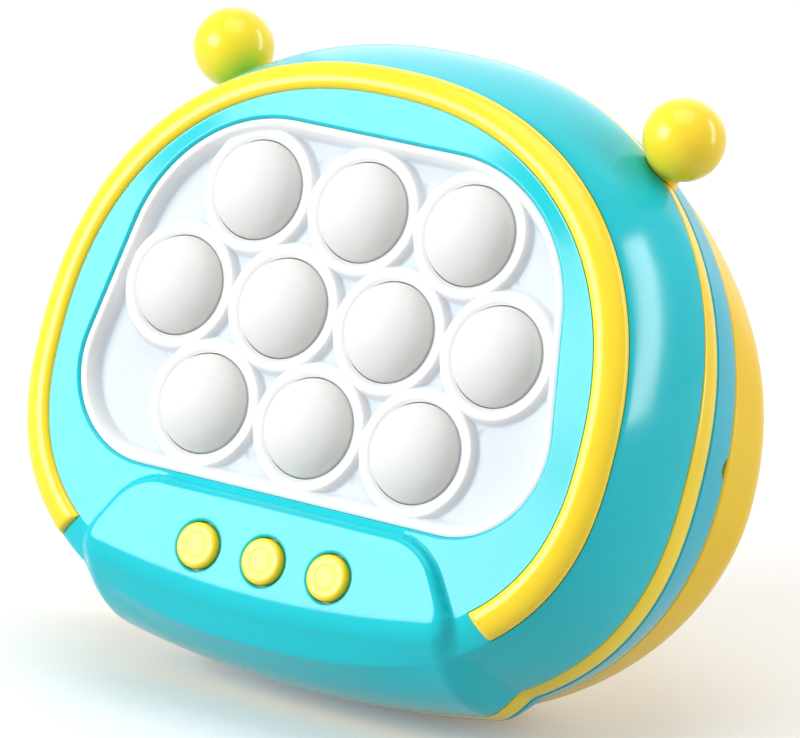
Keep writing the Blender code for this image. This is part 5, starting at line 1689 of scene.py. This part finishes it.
    def set_normals(self, mesh: bpy.types.Mesh, flat: Array) -> None:
        """Sets the front's normals from the height field's own slope, and leaves the rest flat.

        Args:
            mesh: The panel's mesh.
            flat: Its front's (x, z) points.
        """
        step = 0.02
        east = (self.depth(flat + [step, 0]) - self.depth(flat - [step, 0])) / (2 * step)
        north = (self.depth(flat + [0, step]) - self.depth(flat - [0, step])) / (2 * step)
        slope = CASING.world(np.column_stack([east, -np.ones(len(flat)), north]))
        slope -= CASING.world(np.zeros(3))
        slope /= np.linalg.norm(slope, axis=1, keepdims=True)
        corner = read_array(mesh.loops, "vertex_index", 1, int)[:, 0]
        start = read_array(mesh.polygons, "loop_start", 1, int)[:, 0]
        size = read_array(mesh.polygons, "loop_total", 1, int)[:, 0]
        normals = np.repeat(read_array(mesh.polygons, "normal", 3), size, axis=0)
        in_front = np.repeat(np.maximum.reduceat(corner, start) < len(flat), size)
        normals[in_front] = slope[corner[in_front]]
        mesh.normals_split_custom_set(normals.tolist())


def dome_distances(flat: Array) -> Array:
    """How far (x, z) points lie from the middles of the nearest dome and of the next."""
    offsets = flat[:, None] - np.array(BUBBLES.places())
    return np.sort(np.linalg.norm(offsets, axis=2), axis=1)[:, :2].T


def chin_skin(rings: Sequence[Array], share: float | Array = 1.0) -> Array:
    """Rings of the casing with the chin's form raised in them, read at the seam's depth.

    Args:
        rings: The casing's rings.
        share: How much of the chin shows.

    Returns:
        The rings with the chin in them.
    """
    grid = np.array(rings)
    flat = grid.reshape(-1, 3)
    low = flat[:, 2] < CHIN.shoulder
    level = flat.copy()
    level[:, 1] = SEAM.depth
    out = level * [1, 0, 1] + [0, 0, CASING.waist]
    out /= np.linalg.norm(out, axis=1, keepdims=True)
    lift = np.zeros(len(flat))
    shares = np.broadcast_to(share, len(flat))
    lift[low] = CHIN.raise_skin(level[low], out[low], shares[low])
    return (flat + lift[:, None] * out).reshape(grid.shape)


@dataclass(frozen=True)
class Band:
    """The yellow band between the shells, with the two antennas that stand on it.

    Attributes:
        crown: How far the band bulges.
        edge: Insets and runs of its soft edges, from the rim inwards.
        tongue: How far its tongues reach into the shells.
        play, thick: Where a tongue's sides lie under the shell's wall.
        ball, neck: Radii of an antenna's ball and neck.
        stand_off: How far over the band the ball's middle stands.
        place, tilt: Where along x an antenna stands, and how far it leans to the front.
        flare: How much wider than its neck it is, at heights over the band.
        cut_depth, cut_share: Where along the side wall the tool that cuts its foot begins.
    """

    crown: float = 0.25
    edge: tuple[Pair, ...] = ((CASING.soft, 0.0), (0.1, 0.15), (0.0, 0.4))
    tongue: float = 2.2
    play: float = 0.5
    thick: float = 2.0
    ball: float = 8.5
    neck: float = 4.1
    stand_off: float = 9.9
    place: float = 49.8
    tilt: float = math.radians(22.5)
    flare: tuple[Pair, ...] = ((0.6, -2.0), (0.5, -0.6), (0.15, 0.2), (0.1, 0.9))
    cut_depth: float = 20.0
    cut_share: float = 0.71

    def axis(self, side: int) -> tuple[Array, Array]:
        """Where an antenna stands on the band's middle line, and its direction.

        Args:
            side: -1 for the left antenna, 1 for the right.

        Returns:
            The place and a unit vector.
        """
        section = SEAM.towards(REAR_FRONT, 29.3, 0.5)
        angle = math.acos((self.place / section.half_width) ** (section.upper_power / 2))
        before, here, after = section.ring(np.array([angle - 0.002, angle, angle + 0.002]))
        out = np.array([after[2] - before[2], 0.0, before[0] - after[0]])
        out /= np.linalg.norm(out)
        direction = out * math.cos(self.tilt) - np.array([0.0, math.sin(self.tilt), 0.0])
        return here * [side, 1, 1], direction * [side, 1, 1]

    def build(self, library: Library) -> None:
        """Builds the band as a low crown between two soft edges, and its antennas.

        Args:
            library: The materials.
        """
        angles = stations()
        front, back = SEAM.depth + CASING.gap, BAND_BACK.depth
        flat_start = self.edge[-1][1]
        sides = [(inset, front + run) for inset, run in self.edge]
        for share in np.linspace(0.1, 0.9, 9):
            depth = front + flat_start + share * (back - front - 2 * flat_start)
            sides.append((-self.crown * math.sin(math.pi * share), depth))
        sides += [(inset, back - run) for inset, run in reversed(self.edge)]
        outer = []
        for inset, depth in sides:
            share = (depth - SEAM.depth) / (REAR_FRONT.depth - SEAM.depth)
            outer.append(SEAM.towards(REAR_FRONT, depth, share).inset(inset).ring(angles))
        root = CASING.wall + CASING.gap
        deep, shallow = root + self.thick, root + self.play
        tongues = [
            BAND_BACK.inset(root),
            BAND_BACK.inset(shallow, back + self.tongue),
            BAND_BACK.inset(deep, back + self.tongue),
            SEAM.inset(deep, front - self.tongue),
            SEAM.inset(shallow, front - self.tongue),
            SEAM.inset(root, front),
        ]
        rings = [*chin_skin(outer), *(section.ring(angles) for section in tongues)]
        band = loft("band", rings, Slot.YELLOW, joined=True, sharp=32)
        band.finish(library, ["middle_band"])
        for side, name in ((-1, "left"), (1, "right")):
            self.build_antenna(library, side, name)

    def build_antenna(self, library: Library, side: int, name: str) -> None:
        """Turns a ball on a flared neck and cuts its foot to the casing's skin.

        Args:
            library: The materials.
            side: -1 for the left, 1 for the right.
            name: Its side's name.
        """
        neck = self.neck
        start = math.degrees(math.asin(neck / self.ball)) - 90
        ball = arc((0.0, self.stand_off), self.ball, start + 9, 90, 40)
        profile = [
            (0.0, self.flare[0][1]),
            *((neck + wider, height) for wider, height in self.flare),
            (neck + 0.45, self.stand_off - self.ball + 0.9),
            *ball[:-1],
            (0.0, self.stand_off + self.ball),
        ]
        points, faces = turned_points(profile, 72)
        origin, direction = self.axis(side)
        points = stand(points, direction, origin)
        piece = Piece(f"{name}_antenna_ball", points, faces, Slot.YELLOW, 40)
        side_wall = SHOULDER.towards(SEAM, self.cut_depth, side_bend(self.cut_share))
        skins = [side_wall, SEAM, REAR_FRONT, REAR_SEAM]
        rings = [skin.inset(-CASING.gap).ring(stations()) for skin in skins]
        piece.apply(loft("casing_tool", rings), Operation.CUT).finish(library, [f"{name}_antenna"])


@dataclass(frozen=True)
class RearShell:
    """The blue ring behind the band, with the chin fading out in it and a pry notch.

    Attributes:
        steps: Rings along it.
        bend: How much of its taper comes late.
        notch_radius, notch_soft: Radius of the notch's tool and of its soft edge.
        notch_depth, notch_height: How far it bites into the back edge, and where.
        notch_reach: How far inside the widest line the tool's flare begins.
    """

    steps: int = 16
    bend: float = 0.4
    notch_radius: float = 2.4
    notch_soft: float = 0.8
    notch_depth: float = 1.6
    notch_height: float = -10.0
    notch_reach: float = 0.7

    def build(self, library: Library) -> None:
        """Builds the shell as a smooth taper and bites the notch out of its back edge.

        Args:
            library: The materials.
        """
        angles = stations()
        front, back = REAR_FRONT.depth, REAR_SEAM.depth
        outer = []
        shares = np.linspace(0, 1, self.steps)
        for share in shares:
            bent = share * (1 - self.bend + self.bend * share)
            section = REAR_FRONT.towards(REAR_SEAM, front + share * (back - front), bent)
            outer.append(section.ring(angles))
        fade = np.repeat(1 - smooth(shares, 0.0, 1.0), len(angles))
        first, *middle, last = chin_skin(outer, fade)
        soft, wall = CASING.soft, CASING.wall
        rings = [
            seam_ring(first, soft, front),
            first + [0.0, soft, 0.0],
            *middle,
            last - [0.0, soft, 0.0],
            seam_ring(last, soft, back),
            seam_ring(last, wall, back),
            seam_ring(first, wall, front),
        ]
        shell = loft("rear_body", rings, Slot.BLUE, joined=True, sharp=32)
        radius, flare, reach = self.notch_radius, self.notch_radius + self.notch_soft, 6
        profile = [
            (0.0, -reach),
            (radius, -reach),
            (radius, 0),
            *arc((flare, 0.0), self.notch_soft, 180, 90)[1:],
            (flare, reach),
            (0.0, reach),
        ]
        points, faces = turned_points(profile, 48)
        across = REAR_SEAM.half_width - self.notch_reach
        place = [across, back + radius - self.notch_depth, self.notch_height]
        tool = Piece("notch_tool", stand(points, (1, 0, 0), place), faces)
        shell.apply(tool, Operation.CUT).finish(library, ["rear_shell"])


@dataclass(frozen=True)
class Back:
    """The amber back: its cover, battery door, speaker slots, wells and screws.

    Attributes:
        front, depth: Where the cover begins, and how deep it is.
        foot_height, foot_soft: Height of its flat foot at the rear shell's edge, and how softly
            the outlines settle on it.
        foot_wall: The wall over the foot.
        depths, widths, rises, drops, powers: The outlines that it is lofted through, as shares of
            its depth and of the rear shell's outline, with their lower powers.
        lip, lip_wall, lip_run: The front lip's inset, its wall and how far it stands out.
        bay_centre, bay_width, bay_height: The battery bay.
        ledge: How far the door reaches past the bay.
        ear_half, ear_height: The door's ear for its screw.
        door_radius, door_thickness: The door's corners and its thickness.
        ridges, ridge_pitch: How many grip ridges the door has, and how far apart.
        ridge_place, ridge_length, ridge_taper: Where the first stands over the bay's centre, how
            long it is, and how much shorter each next one.
        speaker, speaker_radius: Height of the speaker's centre, and the slots' circle.
        slot_pitch, slot_width: The slots.
        screws, seat: Where the case screws stand, and how deep their heads seat.
        well_radius: The radius of their wells.
    """

    front: float = 42.3
    depth: float = 23.4
    foot_height: float = -74.017
    foot_soft: float = 0.3
    foot_wall: float = 2.4
    depths: Floats = (0.0, 0.24, 0.46, 0.63, 0.79, 0.91, 0.98, 1.0)
    widths: Floats = (0.998, 1.01, 1.014, 0.99, 0.942, 0.884, 0.82, 0.77)
    rises: Floats = (0.99, 0.955, 0.895, 0.822, 0.76, 0.695, 0.63, 0.585)
    drops: Floats = (1.0, 0.995, 0.985, 0.96, 0.92, 0.86, 0.79, 0.735)
    powers: Floats = (2.25, 2.15, 2.05, 1.98, 1.95, 1.95, 1.95, 1.95)
    lip: float = 2.5
    lip_wall: float = 1.4
    lip_run: float = 2.0
    bay_centre: float = -30.017
    bay_width: float = 50.4
    bay_height: float = 33.9
    ledge: float = 2.0
    ear_half: float = 6.0
    ear_height: float = 7.0
    door_radius: float = 3.0
    door_thickness: float = 2.2
    ridges: int = 4
    ridge_pitch: float = 1.7
    ridge_place: float = 11.0
    ridge_length: float = 14.0
    ridge_taper: float = 2.6
    speaker: float = 12.0
    speaker_radius: float = 11.5
    slot_pitch: float = 4.0
    slot_width: float = 1.8
    screws: tuple = ((52.8, 26.717), (-52.8, 26.717), (54.0, -39.017), (-54.0, -39.017))
    seat: float = 45.0
    well_radius: float = 2.8

    @property
    def flat(self) -> float:
        """The depth of the flat back."""
        return self.front + self.depth

    def section(self, position: float) -> Section:
        """The outline at a position along the table, read on a smooth curve through it.

        Args:
            position: A place along the table, from 0 to its last.

        Returns:
            The outline there.
        """
        table = (self.depths, self.widths, self.rises, self.drops, self.powers)
        depth, width, rise, drop, power = [catmull(values, position) for values in table]
        sizes = REAR_SEAM.half_width * width, REAR_SEAM.rise * rise, REAR_SEAM.drop * drop
        return Section(self.front + self.depth * min(depth, 1.0), *sizes, REAR_SEAM.upper_power, power)

    def on_foot(self, ring: Array, wall: float = 0.0) -> Array:
        """Lays the lowest points on the level foot, a soft maximum of their height and its plane.

        Args:
            ring: The ring.
            wall: How far over the foot's plane it stays.

        Returns:
            The ring, no lower than the foot.
        """
        foot = self.foot_height + (ring[:, 1] - REAR_SEAM.depth) * math.tan(CASING.lean) + wall
        z = (ring[:, 2] + foot + np.sqrt((ring[:, 2] - foot) ** 2 + self.foot_soft**2)) / 2
        return np.column_stack([ring[:, 0], ring[:, 1], z])

    def door_outline(self, inset: float) -> Array:
        """The battery door: a rectangle with an ear for its screw.

        Args:
            inset: How far it is drawn in.

        Returns:
            The outline's points.
        """
        half = self.bay_width / 2 + self.ledge - inset
        low = self.bay_centre - self.bay_height / 2 - self.ledge + inset
        high = self.bay_centre + self.bay_height / 2 + self.ledge - inset
        ear, radius = self.ear_half - inset, self.door_radius - inset
        right = [(half, low), (half, high), (ear, high), (ear, high + self.ear_height)]
        corners = right + [(-x, z) for x, z in reversed(right)]
        radii = [radius, radius, 0.0, radius]
        return rounded_outline(corners, radii + radii[::-1], 8)

    def door_screw(self) -> Pair:
        """The (x, z) centre of the door's screw."""
        return 0.0, self.bay_centre + self.bay_height / 2 + self.ledge + self.ear_height / 2

    def build(self, library: Library) -> None:
        """Builds the cover, the door and the five screws.

        Args:
            library: The materials.
        """
        self.build_cover(library)
        self.build_door(library)
        for index, place in enumerate(self.screws, start=1):
            Screw(f"case_screw_{index}", place, self.seat + CASING.gap, 24.0).build(library)
        Screw("battery_door_screw", self.door_screw(), self.flat - 1.0, 5.0).build(library)

    def cover_rings(self) -> list[Array]:
        """Rings from the cover's inside round its front lip to the middle of its back.

        Returns:
            The rings, in the order of the loft.
        """
        angles = stations(360)
        wall, last = CASING.wall, len(self.depths) - 1
        inner = []
        for position in (last, 5, 3, 1.5):
            section = self.section(position)
            lining = section.inset(wall, section.depth - wall * position / last)
            inner.append(self.on_foot(lining.ring(angles), self.foot_wall))
        rim = self.section(0)
        lip = [
            rim.inset(self.lip + self.lip_wall),
            rim.inset(self.lip + self.lip_wall, self.front - self.lip_run),
            rim.inset(self.lip, self.front - self.lip_run),
            rim.inset(self.lip),
            rim.inset(CASING.soft),
        ]
        sections = [self.section(position) for position in np.linspace(0, last, 50)]
        sections += [self.section(last).scaled(share) for share in (0.85, 0.6, 0.3)]
        outer = [self.on_foot(section.ring(angles)) for section in sections]
        outer[0] = outer[0] + [0.0, CASING.soft, 0.0]
        return [*inner, *(section.ring(angles) for section in lip), *outer]

    def build_cover(self, library: Library) -> None:
        """Lofts the cover and cuts the recess, the slots and the wells.

        Args:
            library: The materials.
        """
        cover = loft("back_body", self.cover_rings(), Slot.AMBER, sharp=30)
        runs = [(0.0, -2.5), (0.0, -0.3), (-0.5, 0.3), (-0.5, 3)]
        levels = [(inset, self.flat + run) for inset, run in runs]
        cover.apply(plate("recess_tool", self.door_outline, levels), Operation.CUT)
        for index in range(5):
            x = (index - 2) * self.slot_pitch
            height = 2 * math.sqrt(self.speaker_radius**2 - x * x)
            radius = self.slot_width / 2 - 0.01
            slot = box_outline(self.slot_width, height, radius, (x, self.speaker))
            cover.apply(prism(f"slot_tool_{index}", slot, self.flat - 6, self.flat + 4), Operation.CUT)
        seat, radius, mouth = self.seat, self.well_radius, self.flat + 4
        well = [(0.0, seat), (radius, seat), (radius, mouth), (0.0, mouth)]
        for index, place in enumerate(self.screws):
            cover.apply(turned(f"well_tool_{index}", well, place, segments=48), Operation.CUT)
        cover.finish(library, ["back_cover"])

    def build_door(self, library: Library) -> None:
        """The door with a soft edge, grip ridges and a counterbore for its screw.

        Args:
            library: The materials.
        """
        back, gap = self.flat, CASING.gap
        runs = [(0.0, -self.door_thickness), (0.0, -0.45), (0.13, -0.13), (0.45, 0.0)]
        levels = [(gap + inset, back + run) for inset, run in runs]
        door = plate("door_plate", self.door_outline, levels, Slot.AMBER)
        for index in range(self.ridges):
            centre = (0.0, self.bay_centre + self.ridge_place - self.ridge_pitch * index)
            foot = box_outline(self.ridge_length - self.ridge_taper * index, 0.7, 0.3, centre)
            crest = at_depth(shrink(foot, 0.8), back + 0.22)
            rings = [at_depth(foot, back - 0.3), at_depth(foot, back), crest]
            door.apply(loft(f"ridge_{index}", rings), Operation.JOIN)
        bore, head, mouth = 1.6, 2.8, 3.2
        runs = [(0.0, -4), (bore, -4), (bore, -1.3), (head, -1.3), (head, -0.3)]
        runs += [(mouth, 0.1), (mouth, 2), (0.0, 2)]
        hole = [(radius, back + run) for radius, run in runs]
        tool = turned("door_hole_tool", hole, self.door_screw(), segments=48)
        door.apply(tool, Operation.CUT).finish(library, ["battery_door"])


@dataclass(frozen=True)
class Screw:
    """A pan-head screw with a threaded shank and a cross.

    Attributes:
        name, place: Its node and its (x, z) centre.
        seat, length: How deep its head seats, and the length of its shank.
        pitch, core, crest: Pitch and radii of its thread.
        head, head_round, head_height: Radius, rounding and height of its head.
        cross: Length and width of an arm of its cross.
    """

    name: str
    place: Pair
    seat: float
    length: float
    pitch: float = 0.5
    core: float = 1.02
    crest: float = 1.25
    head: float = 2.5
    head_round: float = 0.75
    head_height: float = 1.3
    cross: Pair = (2.9, 0.62)

    def build(self, library: Library) -> None:
        """Turns the screw and cuts its cross.

        Args:
            library: The materials.
        """
        seat, tip, top = self.seat, self.seat - self.length, self.seat + self.head_height
        thread = []
        for step in range(int(self.length / self.pitch) - 1):
            depth = tip + 0.8 + self.pitch * step
            thread += [(self.core, depth), (self.crest, depth + self.pitch / 2)]
        head, rounding = self.head, self.head_round
        profile = [
            (0.0, tip),
            (0.7, tip + 0.3),
            *thread,
            (self.crest, seat),
            (head, seat),
            (head, seat + 0.55),
            *arc((head - rounding, seat + 0.55), rounding, 0, 80, 5)[1:],
            (0.9, top - 0.01),
            (0.0, top),
        ]
        screw = turned(f"{self.name}_head", profile, self.place, Slot.STEEL, 40, sharp=30)
        for turn, (width, height) in enumerate((self.cross, self.cross[::-1])):
            wide = box_outline(width, height, 0.1, self.place, 2)
            mouth = at_depth(wide, top + 0.5 + 0.01 * turn)
            tool = loft(f"cross_{turn}", [at_depth(shrink(wide, 0.55), top - 0.9), mouth])
            screw.apply(tool, Operation.CUT)
        screw.finish(library, [self.name])


def shrink(flat: Array, share: float) -> Array:
    """An outline scaled about its own middle."""
    middle = flat.mean(axis=0)
    return middle + (flat - middle) * share


def catmull(values: Sequence[float], position: float) -> float:
    """A value between evenly spaced ones on a Catmull-Rom curve.

    Args:
        values: The values.
        position: Where between them, counted from 0.

    Returns:
        The value there.
    """
    last = len(values) - 1
    index = min(int(position), last - 1)
    share = position - index
    a, b, c, d = (values[min(max(index + step, 0), last)] for step in (-1, 0, 1, 2))
    bend = 2 * a - 5 * b + 4 * c - d
    return 0.5 * (2 * b + (c - a) * share + bend * share**2 + (3 * (b - c) + d - a) * share**3)


# Studio


@dataclass(frozen=True)
class Softbox:
    """A soft rectangular lamp seen from the toy, rolled about its own direction."""

    name: str
    direction: Triple
    distance: float
    width: float
    height: float
    radiance: float
    roll: float = 0.0

    def build(self, target: Vector) -> None:
        """Places the lamp facing the target; its power is its radiance times pi and its area.

        Args:
            target: What it faces.
        """
        lamp = bpy.data.lights.new(self.name, "AREA")
        lamp.shape = "RECTANGLE"
        lamp.size, lamp.size_y = self.width, self.height
        lamp.energy = self.radiance * math.pi * self.width * self.height
        placed = add_object(self.name, lamp)
        way = Vector(self.direction).normalized()
        placed.location = target + way * self.distance
        roll = Matrix.Rotation(math.radians(self.roll), 3, "Z")
        placed.rotation_euler = (way.to_track_quat("Z", "Y").to_matrix() @ roll).to_euler()


@dataclass(frozen=True)
class Studio:
    """The floor, the lamps and the camera at the photograph's viewing angle.

    Attributes:
        eye: The camera's place in the casing's frame.
        right, down, ahead: The camera's axes in that frame.
        focal_share: The lens's focal length as a share of the sensor's width.
        sensor: That width.
        target: What the lamps face, in metres in the world.
        ambient: How bright the surround is as light, where the camera sees it as 1.
        lamps: The lamps.
        reach: Half the floor's width.
        paper, paper_seen: The floor's colour as it lights the toy, and as it is seen.
        glow, glow_strength: The share of light that is mixed into it, and how strong that is.
    """

    eye: Triple = (768.088, -1204.689, -54.929)
    right: Triple = (0.827803, 0.504660, 0.245073)
    down: Triple = (0.190934, 0.157331, -0.968912)
    ahead: Triple = (-0.527529, 0.848861, 0.033882)
    focal_share: float = 7077.35 / 800
    sensor: float = 36.0
    target: Triple = (0.0, 0.0, 0.06)
    ambient: float = 0.40
    lamps: tuple[Softbox, ...] = (
        Softbox("key", (-0.54, -0.742, 0.40), 2.5, 1.45, 1.15, 10.2),
        Softbox("top", (0.05, -0.1, 1.0), 1.3, 1.0, 1.0, 2.2),
        Softbox("strip", (0.777, 0.554, 0.298), 2.5, 0.32, 2.2, 12.0, -30.0),
        Softbox("fill", (-0.2, 0.88, 0.42), 2.5, 2.6, 2.35, 0.7),
    )
    reach: float = 6.0
    paper: Colour = (188, 188, 189)
    paper_seen: Colour = (243, 243, 243)
    glow: float = 0.1
    glow_strength: float = 1.7

    def build(self) -> None:
        """Builds everything that isn't the toy."""
        self.build_camera()
        self.build_floor()
        self.build_world()
        for lamp in self.lamps:
            lamp.build(Vector(self.target))
        bpy.context.scene.view_settings.view_transform = "Standard"

    def build_camera(self) -> None:
        """Sets the camera where the ten domes' places in the photograph put it."""
        camera = bpy.data.cameras.new("camera")
        camera.sensor_width = self.sensor
        camera.lens = self.focal_share * self.sensor
        camera.clip_end = 50.0
        axes = CASING.world(np.array([self.right, self.down, self.ahead]))
        right, down, ahead = (axes - CASING.world(np.zeros(3))) / MM
        turn = Matrix([right, -down, -ahead]).transposed()
        placed = add_object("camera", camera)
        placed.matrix_world = Matrix.Translation(CASING.world(np.array(self.eye))) @ turn.to_4x4()
        bpy.context.scene.camera = placed

    def build_floor(self) -> None:
        """A pale floor that glows a little to the camera, so that only its shadow is grey."""
        mesh = bpy.data.meshes.new("floor")
        signs = ((-1, -1), (1, -1), (1, 1), (-1, 1))
        corners = [(self.reach * right, self.reach * back, 0) for right, back in signs]
        mesh.from_pydata(corners, [], [(0, 1, 2, 3)])
        floor = add_object("floor", mesh)
        graph = Graph("floor_paper")
        path = graph.node("ShaderNodeLightPath")
        camera, glossy = path.outputs["Is Camera Ray"], path.outputs["Is Glossy Ray"]
        seen = Number(graph, camera) + Number(graph, glossy)
        paper = graph.blend(seen, self.paper, self.paper_seen)
        graph.set(Base_Color=paper, Roughness=0.9, Specular_IOR_Level=0.1)
        graph.glow(seen, self.glow, self.glow_strength)
        mesh.materials.append(graph.material)

    def build_world(self) -> None:
        """A white surround for the camera and reflections, and a dimmer one for the light."""
        world = bpy.data.worlds.new("surround")
        bpy.context.scene.world = world
        world.use_nodes = True
        tree = world.node_tree
        path = tree.nodes.new("ShaderNodeLightPath")
        seen = tree.nodes.new("ShaderNodeMath")
        seen.operation = "MAXIMUM"
        for index, ray in enumerate(("Is Camera Ray", "Is Glossy Ray")):
            tree.links.new(path.outputs[ray], seen.inputs[index])
        level = tree.nodes.new("ShaderNodeMapRange")
        tree.links.new(seen.outputs[0], level.inputs["Value"])
        level.inputs["To Min"].default_value = self.ambient
        level.inputs["To Max"].default_value = 1.0
        surround = tree.nodes["Background"]
        surround.inputs["Color"].default_value = (1.0, 1.0, 1.0, 1.0)
        tree.links.new(level.outputs[0], surround.inputs["Strength"])


def main() -> None:
    """Dresses the part and builds the studio."""
    logging.basicConfig(level=logging.INFO, format="%(name)s: %(message)s")
    library = Library()
    Studio().build()
    for assembly in (FrontBody(), TRIM, Panel(), BUBBLES, BUTTONS, Band(), RearShell(), Back()):
        assembly.build(library)
        LOG.info("built %s", type(assembly).__name__)
    library.dress_hidden(frame["record"])


if __name__ == "__main__":
    main()
